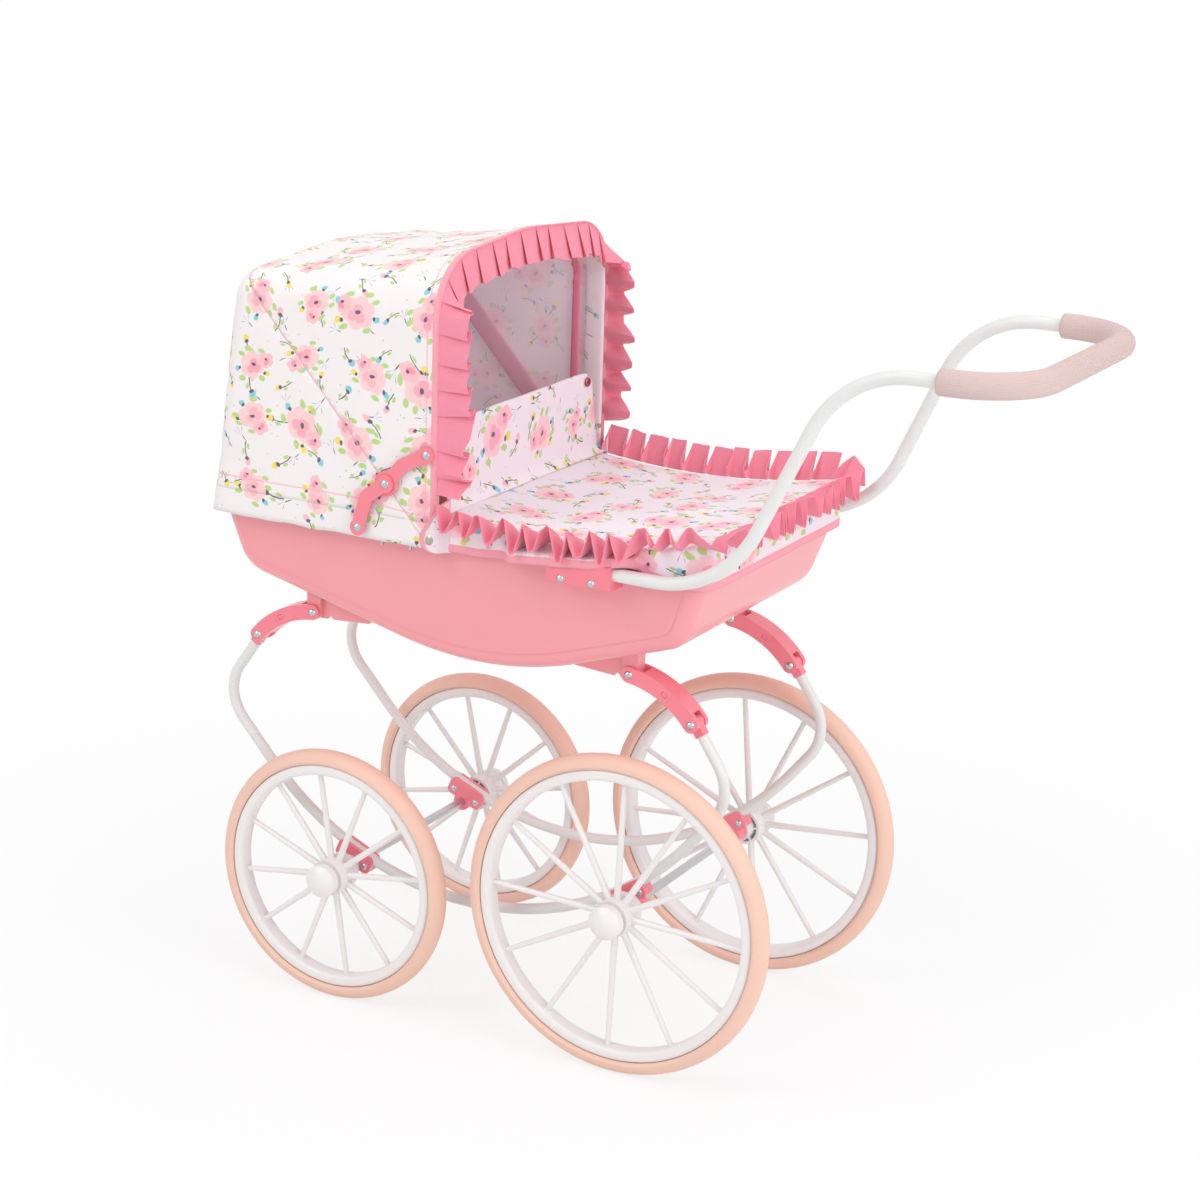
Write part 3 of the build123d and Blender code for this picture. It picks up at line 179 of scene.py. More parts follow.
def buildPrint(colours):
    tree, ins, outs = newGroup("sprigPrint", [("Vector", "Vector", None)], [("Color", "Color")])
    whole = ins.outputs["Vector"]
    colour = colours["ground"]

    def do(operation, *values, **options):
        return calc(tree, operation, *values, **options)

    # a slow drift loosens the rows and a fine one roughens the painted edges
    def drifted(vector, scale, reach):
        cloud = addNode(tree, "TexNoise", {"Vector": whole, "Scale": scale, "Detail": 1.0})
        shift = vectorCalc(tree, "MULTIPLY", cloud.outputs["Color"], (reach, reach, 0))
        return vectorCalc(tree, "ADD", vector, shift)

    vector = drifted(drifted(whole, 9.0, 0.034), 230.0, 0.0016)

    # one scatter of motifs: each cell's own point is the motif's middle, and its colour turns and sizes it
    def scatter(pitch, shift, spread, size=1.0):
        moved = vectorCalc(tree, "ADD", vector, shift)
        layout = {"Vector": moved, "Scale": 1 / pitch, "Randomness": spread}
        cells = addNode(tree, "TexVoronoi", layout, voronoi_dimensions="2D", feature="F1")
        local = vectorCalc(tree, "SUBTRACT", moved, cells.outputs["Position"])
        chance = addNode(tree, "SeparateColor", {"Color": cells.outputs["Color"]})
        angle = both(chance.outputs[0], math.tau)
        turned = addNode(tree, "VectorRotate", {"Vector": local, "Angle": angle}, rotation_type="Z_AXIS").outputs[0]
        growth = do("MULTIPLY_ADD", chance.outputs[1], -0.3 / size, 1.15 / size)
        grown = addNode(tree, "VectorMath", {0: turned, "Scale": growth}, operation="SCALE").outputs[0]
        parts = addNode(tree, "SeparateXYZ", {0: grown})
        flip = do("MULTIPLY_ADD", do("GREATER_THAN", chance.outputs[2], 0.5), 2.0, -1.0)
        return both(parts.outputs[0], flip), parts.outputs[1], chance.outputs[2]

    def both(first, second):
        return do("MULTIPLY", first, second)

    def unsigned(value):
        return do("ABSOLUTE", value)

    def inside(limit, value, softness):
        return do("DIVIDE", do("SUBTRACT", limit, value), softness, clamp=True)

    def radius(x, y):
        return do("SQRT", do("ADD", both(x, x), both(y, y)))

    def petals(x, y, middleX, middleY, count, size, depth):
        x = do("SUBTRACT", x, middleX)
        y = do("SUBTRACT", y, middleY)
        wave = unsigned(do("COSINE", both(do("ARCTAN2", y, x), count / 2)))
        reach = do("MULTIPLY_ADD", do("POWER", wave, 0.6), size * depth, size * (1 - depth))
        return inside(reach, radius(x, y), 0.0008)

    def oval(x, y, middleX, middleY, halfX, halfY):
        nearX = do("DIVIDE", do("SUBTRACT", x, middleX), halfX)
        nearY = do("DIVIDE", do("SUBTRACT", y, middleY), halfY)
        return inside(1.0, radius(nearX, nearY), 0.25)

    def ovals(x, y, places, halfX, halfY):
        found = oval(x, y, *places[0], halfX, halfY)
        for place in places[1:]:
            found = do("MAXIMUM", found, oval(x, y, *place, halfX, halfY))
        return found

    def pickColour(pick, low, first, second):
        return blendColour(tree, do("GREATER_THAN", pick, low), first, second)

    def paint(mask, over):
        nonlocal colour
        colour = blendColour(tree, mask, colour, colours[over] if isinstance(over, str) else over)

    # loose dots
    x, y, pick = scatter(0.019, (0.471, 0.802, 0), 0.9)
    dots = both(oval(x, y, 0, 0, 0.00085, 0.00085), do("GREATER_THAN", pick, 0.45))
    paint(dots, pickColour(pick, 0.72, colours["sky"], colours["petal"]))

    # fans of fine stalks
    x, y, pick = scatter(0.043, (0.271, 0.402, 0), 0.5, 1.15)
    turn = do("ARCTAN2", y, x)
    stalks = inside(0.3, unsigned(do("SINE", both(turn, 4.5))), 0.2)
    fan = both(both(stalks, inside(0.0078, radius(x, y), 0.0012)), inside(1.15, unsigned(turn), 0.1))
    paint(fan, "spray")
    paint(oval(x, y, -0.0032, 0, 0.0036, 0.0005), "twig")

    # single buds on a bent twig with two leaves
    x, y, pick = scatter(0.036, (0.113, 0.047, 0), 0.5, 1.12)
    stem = inside(0.00055, unsigned(do("SUBTRACT", y, both(both(x, x), 20.0))), 0.0002)
    paint(both(stem, inside(0.0078, unsigned(x), 0.0005)), "twig")
    paint(ovals(x, y, [(-0.0035, 0.0027), (0.0012, -0.0021)], 0.0029, 0.0015), "leaf")
    bud = pickColour(pick, 0.42, colours["sun"], pickColour(pick, 0.72, colours["sky"], colours["petal"]))
    paint(oval(x, y, 0.0092, 0.0019, 0.0038, 0.0031), bud)
    paint(oval(x, y, 0.0066, 0.0011, 0.0018, 0.0023), "twig")

    # posies: a wide and a small blossom among leaves and buds
    x, y, pick = scatter(0.063, (0.031, 0.644, 0), 0.4, 1.38)
    leaves = [(-0.0122, 0.0036), (-0.0085, 0.0096), (-0.0035, -0.0122), (0.0118, -0.0062), (0.0028, 0.0126)]
    paint(ovals(x, y, leaves, 0.0034, 0.002), "leaf")
    paint(oval(x, y, 0.0146, -0.0012, 0.0030, 0.0024), "sun")
    paint(oval(x, y, -0.0112, -0.0076, 0.0026, 0.0022), "sky")
    paint(ovals(x, y, [(0.0124, -0.0020), (-0.0094, -0.0064)], 0.0013, 0.0016), "twig")
    paint(both(petals(x, y, 0, 0, 6, 0.0112, 0.2), 0.93), "blossom")
    heart = do("MULTIPLY_ADD", pick, 0.4, 0.45)
    paint(both(petals(x, y, 0.0014, -0.001, 3, 0.0066, 0.5), heart), "blush")
    paint(both(petals(x, y, 0.0092, 0.0078, 5, 0.0068, 0.26), 0.9), "petal")
    paint(oval(x, y, 0.0102, 0.0068, 0.0022, 0.0032), "blush")
    paint(oval(x, y, 0.0004, 0.0002, 0.0022, 0.0014), "twig")
    paint(oval(x, y, 0.0088, 0.0086, 0.0014, 0.0011), "twig")

    feed(tree, outs, {"Color": colour})
    return tree


fineGrain = buildGrain()
threadWeave = buildWeave()
sprigPrint = buildPrint(printSetup)
print("shared effects built")


# Finishes
def grainOf(tree, scale):
    place = addNode(tree, "TexCoord").outputs["Object"]
    return useGroup(tree, fineGrain, {"Vector": place, "Scale": scale})


def bumpOf(tree, strength, depth, height):
    return addNode(tree, "Bump", {"Strength": strength, "Distance": depth, "Height": height}).outputs[0]


def mouldedFinish(name, colour, rough, coat, bumpDepth, grainScale=900.0, drift=0.05):
    tree, shader = newFinish(name)
    grain = grainOf(tree, grainScale)
    shade = tuple(c * (1 - drift) for c in colour[:3]) + (1.0,)
    feed(tree, shader, {
        "Base Color": blendColour(tree, grain.outputs["Patch"], shade, colour),
        "Roughness": calc(tree, "MULTIPLY_ADD", grain.outputs["Patch"], 0.08, rough - 0.04),
        "Normal": bumpOf(tree, 0.25, bumpDepth, grain.outputs["Height"]),
        "Coat Weight": coat,
        "Coat Roughness": 0.12,
    })


def metalFinish(name, colour, rough):
    tree, shader = newFinish(name)
    grain = grainOf(tree, 1400.0)
    feed(tree, shader, {
        "Base Color": colour,
        "Metallic": 1.0,
        "Roughness": calc(tree, "MULTIPLY_ADD", grain.outputs["Patch"], 0.08, rough),
        "Normal": bumpOf(tree, 0.1, 0.00005, grain.outputs["Height"]),
    })


def clothFinish(name, colour, printed, fade=0.0, seams=0.0, paintedBounceTint=None, glow=0.0):
    tree, shader = newFinish(name)
    place = addNode(tree, "UVMap", uv_map="cloth").outputs["UV"]
    weave = useGroup(tree, threadWeave, {"Vector": place, "Threads": 700.0})
    if printed:
        face = useGroup(tree, sprigPrint, {"Vector": place}).outputs["Color"]
        if fade:
            face = blendColour(tree, fade, face, colour)
        # painted shade: a faint lilac tint multiplied over the print, for the cool bounce light the cloth lies in
        if paintedBounceTint:
            face = blendColour(tree, 1.0, face, paintedBounceTint, "MULTIPLY")
    else:
        deep = tuple(c * 0.9 for c in colour[:3]) + (1.0,)
        face = blendColour(tree, weave.outputs["Slub"], deep, colour)
    if seams:
        marks = addNode(tree, "Attribute", attribute_name="seams").outputs["Vector"]
        lines = addNode(tree, "SeparateXYZ", {0: marks})  # each line's distance from the point
        for axis in range(3):
            near = calc(tree, "SUBTRACT", threadSetup["half"], calc(tree, "ABSOLUTE", lines.outputs[axis]))
            thread = calc(tree, "DIVIDE", near, threadSetup["soft"], clamp=True)
            face = blendColour(tree, calc(tree, "MULTIPLY", thread, seams), face, threadSetup["colour"])
    feed(tree, shader, {
        "Base Color": face,
        "Roughness": calc(tree, "MULTIPLY_ADD", weave.outputs["Slub"], 0.15, 0.68),
        "Normal": bumpOf(tree, 0.35, 0.0003, weave.outputs["Height"]),
        "Emission Color": tone(242, 230, 244),  # painted glow: emission standing in for daylight through the thin cotton
        "Emission Strength": glow,
        "Sheen Weight": 0.25,
        "Sheen Roughness": 0.5,
        "Specular IOR Level": 0.25,
    })


threadSetup = {"colour": tone(246, 176, 194), "half": 0.0009, "soft": 0.0005}
mouldedFinish("tubPink", tone(247, 160, 166), 0.34, 0.25, 0.00004)
mouldedFinish("armPink", tone(247, 132, 146), 0.3, 0.3, 0.00004)
mouldedFinish("wheelWhite", tone(238, 235, 234), 0.38, 0.15, 0.00004, drift=0.03)
mouldedFinish("tyrePeach", tone(243, 202, 184), 0.62, 0.0, 0.00008, 1600.0, 0.06)
mouldedFinish("tubeWhite", tone(228, 229, 227), 0.44, 0.0, 0.000004, 300.0, 0.03)
mouldedFinish("gripFoam", tone(216, 192, 189), 0.78, 0.0, 0.0002, 1500.0, 0.06)
metalFinish("chromeRivet", (0.50, 0.55, 0.58, 1), 0.14)
metalFinish("nickelStud", (0.46, 0.43, 0.36, 1), 0.2)
metalFinish("axleSteel", (0.62, 0.62, 0.64, 1), 0.3)
# the flap studs are plain metal tinted rose: a painted reflection of the pink cloth round them
metalFinish("studPaintedReflection", (0.46, 0.13, 0.17, 1), 0.16)
clothFinish("sprigHood", printSetup["ground"], True, seams=0.75)
# the apron cloth carries the painted lilac shade tint
clothFinish("sprigApron", printSetup["ground"], True, paintedBounceTint=tone(253, 247, 255))
# the lining, facing and rose band carry a painted glow (emission) for light through the cloth
clothFinish("sprigLining", tone(252, 245, 252), True, 0.55, seams=0.3, glow=0.09)
clothFinish("facing", tone(240, 214, 224), True, 0.3, glow=0.05)
clothFinish("pinkCotton", tone(250, 148, 170), False)
clothFinish("pinkTape", tone(252, 168, 182), False)
clothFinish("roseBand", tone(236, 180, 198), False, glow=0.05)

finishByEnding = {  # by the end of a solid's name, else armPink
    "tub": "tubPink", "_tyre": "tyrePeach", "_wheel": "wheelWhite", "_hub_cap": "wheelWhite", "_axle": "axleSteel",
    "_tube": "tubeWhite", "_bow": "tubeWhite", "hinge_plate": "tubeWhite",
    "flap_studs": "studPaintedReflection", "press_studs": "nickelStud",
    "rivet": "chromeRivet", "rivets": "chromeRivet", "screws": "chromeRivet", "pins": "chromeRivet",
}
for name in nodes:
    finish = next((finishByEnding[end] for end in finishByEnding if name.endswith(end)), "armPink")
    for slot in nodes[name].material_slots:
        slot.material = finishes[finish]
print("finishes set on the carried-over solids")


# Cloth building blocks
def marksOf(line):
    marks = [0.0]
    for a, b in zip(line, line[1:]):
        marks.append(marks[-1] + (b - a).length)
    return marks


def segmentAt(marks, distance):
    k = 0
    while k < len(marks) - 2 and marks[k + 1] < distance:
        k += 1
    return k, distance - marks[k], marks[k + 1] - marks[k]


def bentLine(corners, bends, step, pieces=0):
    corners = [Vector(c) for c in corners]
    line = [corners[0]]
    for i in range(1, len(corners) - 1):
        toBack = (corners[i - 1] - corners[i]).normalized()
        toNext = (corners[i + 1] - corners[i]).normalized()
        half = toBack.angle(toNext) / 2
        cut = bends[i - 1] / math.tan(half)
        middle = corners[i] + (toBack + toNext).normalized() * (bends[i - 1] / math.sin(half))
        first = corners[i] + toBack * cut - middle
        last = corners[i] + toNext * cut - middle
        sweep = first.angle(last)
        count = max(3, int(sweep * bends[i - 1] / step * 2))
        for k in range(count + 1):
            share = k / count
            mix = (first * math.sin((1 - share) * sweep) + last * math.sin(share * sweep)) / math.sin(sweep)
            line.append(middle + mix)
    line.append(corners[-1])
    marks = marksOf(line)
    count = pieces or max(2, round(marks[-1] / step))
    even = []
    for i in range(count + 1):
        k, past, span = segmentAt(marks, marks[-1] * i / count)
        even.append(line[k].lerp(line[k + 1], past / span if span else 0.0))
    return even


def runOf(line, i):
    return (line[min(i + 1, len(line) - 1)] - line[max(i - 1, 0)]).normalized()


def archCorners(x, half, shoulder, crown, low, farLow):
    return [(x, -half, low), (x, -half, shoulder), (x, 0, shoulder + crown), (x, half, shoulder), (x, half, farLow)]


def addPiece(name, mesh, materials):
    for material in materials:
        mesh.materials.append(finishes[material])
    piece = bpy.data.objects.new(name, mesh)
    bpy.context.collection.objects.link(piece)
    return piece


# each cell of the rows holds a point and its place on the flat cloth
def gridPiece(name, rows, materials, closed=False, bandFor=None):
    mesh = bpy.data.meshes.new(name)
    wide = len(rows[0])
    faces = []
    bands = []
    for r in range(len(rows) - 1):
        for c in range(wide if closed else wide - 1):
            d = (c + 1) % wide
            faces.append((r * wide + c, r * wide + d, (r + 1) * wide + d, (r + 1) * wide + c))
            bands.append(bandFor(r, c) if bandFor else 0)
    mesh.from_pydata([point for row in rows for point, flat in row], [], faces)
    layer = mesh.uv_layers.new(name="cloth")
    flats = [flat for row in rows for point, flat in row]
    for face in mesh.polygons:
        face.material_index = bands[face.index]
        face.use_smooth = True
        for corner in face.loop_indices:
            layer.data[corner].uv = flats[mesh.loops[corner].vertex_index]
    return addPiece(name, mesh, materials)


def sheetFrom(name, count, across, cellAt, materials, **options):
    rows = [[cellAt(r, c) for c in range(across)] for r in range(count)]
    return gridPiece(name, rows, materials, **options)


def choose(piece):
    bpy.ops.object.select_all(action="DESELECT")
    bpy.context.view_layer.objects.active = piece
    piece.select_set(True)


def thicken(piece, thickness, inward=True, lining=0):
    piece["flatArea"] = sum(face.area for face in piece.data.polygons)  # of the single sheet
    solid = piece.modifiers.new("thickness", "SOLIDIFY")
    solid.thickness = thickness
    solid.offset = -1 if inward else 0
    solid.material_offset = lining
    solid.material_offset_rim = 0
    choose(piece)
    bpy.ops.object.modifier_apply(modifier=solid.name)
    piece.select_set(False)


def pointOut(piece, wrongFor=None):
    work = bmesh.new()
    work.from_mesh(piece.data)
    bmesh.ops.recalc_face_normals(work, faces=work.faces)
    if wrongFor and sum(wrongFor(face) for face in work.faces) > 0:
        bmesh.ops.reverse_faces(work, faces=work.faces)
    work.to_mesh(piece.data)
    work.free()


def dropFrom(value, low, high):
    share = min(1.0, max(0.0, (value - low) / (high - low)))
    return share * share * (3 - 2 * share)


# Hood: one surface over the bows, cut into skirt, back and roof along its seams
hoodSetup = {
    "halfWidth": 0.1526, "front": -0.032, "shoulder": 0.7168, "crown": 0.012, "shoulderBend": 0.0578,
    "backShoulderBend": 0.0256, "crownBend": 0.32, "slope": 0.145, "low": 0.461, "backLow": -0.2826,
    "backTop": -0.2488, "backLean": 0.1328, "backBend": 0.019, "seam": 0.4843, "pivot": (-0.057, 0.0, 0.482),
    "frontBow": -0.043, "bowAngle": 132.4, "thickness": 0.001, "step": 0.006, "around": 136, "turnRows": 7,
    "backRows": 22, "roofLevel": 0.68, "hemWave": 0.0018,
}


def hoodArch(setup, x):
    half = setup["halfWidth"]
    share = (setup["front"] - x) / (setup["front"] - setup["backTop"])
    bend = setup["shoulderBend"] + (setup["backShoulderBend"] - setup["shoulderBend"]) * share
    shoulder = setup["shoulder"] - setup["slope"] * (setup["front"] - x)
    low = setup["low"]
    corners = archCorners(0, half, shoulder, setup["crown"], low, low)
    return bentLine(corners, [bend, setup["crownBend"], bend], setup["step"], setup["around"])


def hoodRows(setup):
    low = setup["low"]
    front = setup["front"]
    bend = setup["backBend"]
    rows = []

    def backX(z):
        return setup["backLow"] + setup["backLean"] * (z - low)

    def aside(i):
        return 0.4 + (i - setup["around"] // 2) * setup["step"]

    count = round((front - setup["backTop"] - bend) / setup["step"])
    for k in range(count + 1):  # roof and sides
        share = k / count
        arch = hoodArch(setup, front + (setup["backTop"] + bend - front) * share)
        rows.append([])
        for i, point in enumerate(arch):
            x = front + (backX(point.z) + bend - front) * share
            rows[-1].append((Vector((x, point.y, point.z)), (aside(i), -x)))
    ends = (0, len(arch) - 1)
    for k in range(1, setup["turnRows"] + 1):  # the turn into the back
        angle = math.pi / 2 * k / setup["turnRows"]
        rows.append([])
        for i, point in enumerate(arch):
            run = runOf(arch, i)
            pulled = point + Vector((0, run.z, -run.y)) * bend * (1 - math.cos(angle))
            pulled.z -= setup["slope"] * bend * math.sin(angle) * dropFrom(point.z, low, setup["shoulder"])
            pulled.z = low if i in ends else max(low, pulled.z)
            x = backX(pulled.z) + bend * (1 - math.sin(angle))
            rows[-1].append((Vector((x, pulled.y, pulled.z)), (aside(i), -x + bend * angle * 0.6)))
    last = rows[-1]
    for k in range(1, setup["backRows"] + 1):  # the back
        share = 1 - k / setup["backRows"]
        rows.append([])
        for point, flat in last:
            z = low + (point.z - low) * share
            rows[-1].append((Vector((backX(z), point.y * share, z)), (point.y * share + 1.3, z)))
    return rows


seamSetup = {"height": 0.4965, "dip": 0.006, "from": -0.13, "to": -0.05}


def skirtSeam(x):
    return seamSetup["height"] - seamSetup["dip"] * dropFrom(x, seamSetup["from"], seamSetup["to"])


def fromRearBow(setup, place):
    bow = math.radians(setup["bowAngle"])
    return (place.x - setup["pivot"][0]) * math.sin(bow) - (place.z - setup["pivot"][2]) * math.cos(bow)


reliefSetup = {
    "roofSag": 0.0042, "backSag": 0.003, "soft": 0.0016, "crumple": 0.0006, "pull": 0.0007, "inset": 0.0011,
    "rearSeam": 0.0009, "frontSeam": 0.0006, "skirtSeam": 0.0008, "highest": 0.0004,
    "rearWide": 0.0022, "frontWide": 0.0018, "skirtWide": 0.002,
}


def hoodRelief(setup, amounts, point, normal):
    dx = point.x - setup["pivot"][0]
    dz = point.z - setup["pivot"][2]
    fromRear = fromRearBow(setup, point)
    fromFront = point.x - setup["frontBow"]
    roof = max(0.0, normal.z)
    side = abs(normal.y)
    between = dropFrom(fromRear, 0.004, 0.05) * dropFrom(-fromFront, 0.004, 0.05)
    relief = -amounts["roofSag"] * between * roof * roof
    relief -= amounts["backSag"] * dropFrom(-fromRear, 0.006, 0.06) * roof
    soft = amounts["soft"] * noise.noise(Vector((point.x * 15, point.y * 9, point.z * 13)))
    crumple = amounts["crumple"] * noise.noise(Vector((point.x * 42 + 3, point.y * 30, point.z * 34)))
    pull = amounts["pull"] * noise.noise(Vector((fromRear * 20, dz * 60 + dx * 14, 7.0)))
    calm = dropFrom(point.z, 0.463, 0.515)
    edge = dropFrom(setup["front"] - point.x, 0.0, 0.02)
    relief += calm * edge * (soft + crumple + pull - amounts["inset"])
    relief -= amounts["rearSeam"] * math.exp(-(fromRear / amounts["rearWide"]) ** 2) * calm
    relief -= amounts["frontSeam"] * math.exp(-((fromFront + 0.002) / amounts["frontWide"]) ** 2) * calm * side
    fromSkirt = point.z - skirtSeam(point.x)
    relief -= amounts["skirtSeam"] * math.exp(-(fromSkirt / amounts["skirtWide"]) ** 2) * side
    return min(relief, amounts["highest"])


def markSeams(setup, mesh):
    marks = mesh.attributes.new("seams", "FLOAT_VECTOR", "POINT")
    for v in mesh.vertices:
        fromFront = v.co.x - setup["frontBow"] + 0.001
        marks.data[v.index].vector = (fromFront, fromRearBow(setup, v.co), v.co.z - skirtSeam(v.co.x))


def buildHood(setup):
    cloths = ("sprigHood", "sprigLining", "pinkTape")
    whole = gridPiece("hoodWhole", hoodRows(setup), cloths, bandFor=lambda r, c: 2 if r == 0 else 0)
    work = bmesh.new()
    work.from_mesh(whole.data)
    bmesh.ops.remove_doubles(work, verts=work.verts, dist=0.00002)
    bmesh.ops.recalc_face_normals(work, faces=work.faces)
    if sum(face.normal.z for face in work.faces if face.calc_center_median().z > setup["roofLevel"]) < 0:
        bmesh.ops.reverse_faces(work, faces=work.faces)
    work.normal_update()
    shifts = [(v, v.normal * hoodRelief(setup, reliefSetup, v.co, v.normal)) for v in work.verts]
    for v, shift in shifts:
        v.co += shift
    for v in work.verts:
        if v.co.z < setup["low"] + 0.0005:
            v.co.z += setup["hemWave"] * noise.noise(Vector((v.co.x * 40, v.co.y * 40, 2.0)))
    pivot = Vector(setup["pivot"])
    bow = math.radians(setup["bowAngle"])
    bowNormal = Vector((math.sin(bow), 0, -math.cos(bow)))
    pieces = {}
    for name, node, cuts in (
        ("hoodSkirt", "hood_skirt", [((0, 0, setup["seam"]), (0, 0, -1))]),
        ("hoodRoof", "hood_front_cloth", [((0, 0, setup["seam"]), (0, 0, 1)), (pivot, bowNormal)]),
        ("hoodBack", "hood_back_cloth", [((0, 0, setup["seam"]), (0, 0, 1)), (pivot, -bowNormal)]),
    ):
        part = work.copy()
        for place, normal in cuts:
            geometry = part.verts[:] + part.edges[:] + part.faces[:]
            bmesh.ops.bisect_plane(part, geom=geometry, plane_co=place, plane_no=normal, clear_inner=True)
        mesh = bpy.data.meshes.new(name)
        part.to_mesh(mesh)
        part.free()
        markSeams(setup, mesh)
        piece = addPiece(name, mesh, cloths)
        thicken(piece, setup["thickness"], lining=1)
        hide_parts(node)
        pieces[name] = piece
    work.free()
    bpy.data.objects.remove(whole)
    return pieces


hood = buildHood(hoodSetup)
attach(hood["hoodSkirt"], "frame")


def foldAt(piece):
    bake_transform(piece)


foldAt(hood["hoodBack"])
foldAt(hood["hoodRoof"])
print("hood cloth built")


# Pleated frills: a strip whose folds lie over one another, stand open in a zigzag, or stand up as flat tabs
knifePleat = [
    (0.0, 0.0), (0.3, 0.4), (0.62, 0.85), (0.82, 1.0), (0.84, 0.9), (0.68, 0.3), (0.64, 0.05), (0.82, 0.0),
]
openPleat = [
    (0.0, -1.0), (0.09, -0.92), (0.24, 0.0), (0.4, 0.92), (0.5, 1.0), (0.6, 0.92), (0.76, 0.0), (0.91, -0.92),
]
tabPleat = [
    (0.0, -1.0), (0.06, -0.7), (0.1, 1.0), (0.36, 1.0), (0.62, 1.0), (0.88, 1.0), (0.92, -0.7), (0.97, -1.0),
]


def pleatedPiece(name, path, outFor, setup):
    marks = marksOf(path)
    length = marks[-1]
    count = round(length / setup["pitch"])
    pitch = length / count
    seed = setup["seed"]

    def at(distance):
        k, past, span = segmentAt(marks, min(max(distance, 0.0), length))
        return path[k].lerp(path[k + 1], past / span), runOf(path, k if past < span / 2 else k + 1)

    def foldStart(fold):
        shift = noise.noise(Vector((fold * 5.3, 2.0, seed))) if 0 < fold < count else 0.0
        return fold + setup["uneven"] * shift

    rows = [[] for i in range(setup["rows"] + 1)]
    for fold in range(count):
        tilt = noise.noise(Vector((fold * 2.3, 5.0, seed)))
        size = 1 + 0.5 * noise.noise(Vector((fold * 3.1, 9.0, seed)))
        begin = foldStart(fold)
        wide = foldStart(fold + 1) - begin
        shape = outFor(*at((begin + wide / 2) * pitch))[3]
        kinds = list(zip((knifePleat, openPleat, tabPleat), shape))
        for k in range(len(knifePleat)):
            step, height = (sum(kind[k][i] * part for kind, part in kinds) for i in (0, 1))
            base = (begin + (step + 0.12 * tilt * step * (1 - step) * 4) * wide) * pitch
            vary = noise.noise(Vector((fold * 1.7, k * 0.31, seed)))
            place, run = at(base)
            out, spread, depth, _, notch = outFor(place, run)
            depth *= (1 + 0.07 * vary + 0.16 * tilt) * (1 - notch * (0.5 - 0.5 * height))
            lift = run.cross(out).normalized()
            for r in range(setup["rows"] + 1):
                share = r / setup["rows"]
                swing = setup["root"] + (spread * size - setup["root"]) * share ** 0.85
                point = place + out * depth * share
                point += lift * (height + 0.14 * vary * share) * swing
                point += run * (setup["lean"] * tilt * share)
                rows[r].append((point, (base * 1.8, depth * share)))
    piece = gridPiece(name, rows, ["pinkCotton"])
    thicken(piece, setup["thickness"], inward=False)
    choose(piece)
    bpy.ops.object.shade_smooth_by_angle(angle=math.radians(38))  # crisp fold lines
    piece.select_set(False)
    return piece


hoodFrillSetup = {
    "pitch": 0.0258, "rows": 6, "root": 0.0003, "lean": 0.007, "thickness": 0.0007, "seed": 1.0, "uneven": 0.36,
    "depth": 0.032, "farDepth": 0.034, "nearEnd": 0.512, "farEnd": 0.518, "start": -0.0336, "inset": 0.0006,
    "spread": 0.0052, "sideSpread": 0.0018, "farSpread": 0.0055, "lowSpread": 0.003,
}


def hoodFrillOut(place, run):
    over = abs(run.y)
    turn = dropFrom(over, 0.15, 0.85)
    far = dropFrom(place.y, 0.06, 0.13) * (1 - turn)
    ahead = Vector((1.0, 0.10 if place.y > 0 else -0.04, 0.0))
    toMiddle = Vector((0.30, -0.5 * (1 if place.y > 0 else -1) * (1 - over), -0.92))
    out = (ahead * (1 - turn) + toMiddle * turn).normalized()
    low = dropFrom(0.57 - place.z, 0.0, 0.05) * (1 - turn)
    opened = max(far, 0.55 * low)
    setup = hoodFrillSetup
    depth = setup["depth"] + (setup["farDepth"] - setup["depth"]) * far
    spread = setup["spread"] + setup["sideSpread"] * (1 - turn) + setup["farSpread"] * far + setup["lowSpread"] * low
    notch = 0.6 * far + 0.15 * low * (1 - far)
    return out, spread, depth, (1 - opened, opened, 0.0), notch


def buildHoodFrill(setup):
    half = hoodSetup["halfWidth"] - setup["inset"]
    shoulder = hoodSetup["shoulder"] - setup["inset"]
    bend = hoodSetup["shoulderBend"] - setup["inset"]
    corners = archCorners(setup["start"], half, shoulder, hoodSetup["crown"], setup["nearEnd"], setup["farEnd"])
    path = bentLine(corners, [bend, hoodSetup["crownBend"], bend], 0.003)
    return pleatedPiece("hoodFrill", path, hoodFrillOut, setup)


hoodFrill = buildHoodFrill(hoodFrillSetup)
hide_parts("hood_frill")
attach(hoodFrill, "front_bow")
print("hood frill built")


# Cloth sleeves round the two bows
frontSleeveSetup = {
    "angle": 90.0, "lead": 0.014, "half": 0.1477, "reach": 0.2277, "crown": 0.012, "bend": 0.0567, "start": 0.01,
    "wide": 0.0102, "inner": 0.0024, "outer": 0.0018, "ruche": 0.0011, "thickness": 0.0005,
}
rearSleeveSetup = {
    "angle": 132.4, "lead": 0.0, "half": 0.1452, "reach": 0.2649, "crown": 0.009, "bend": 0.0389, "start": 0.03,
    "wide": 0.0105, "inner": 0.0022, "outer": 0.0012, "ruche": 0.0, "thickness": 0.0005,
}


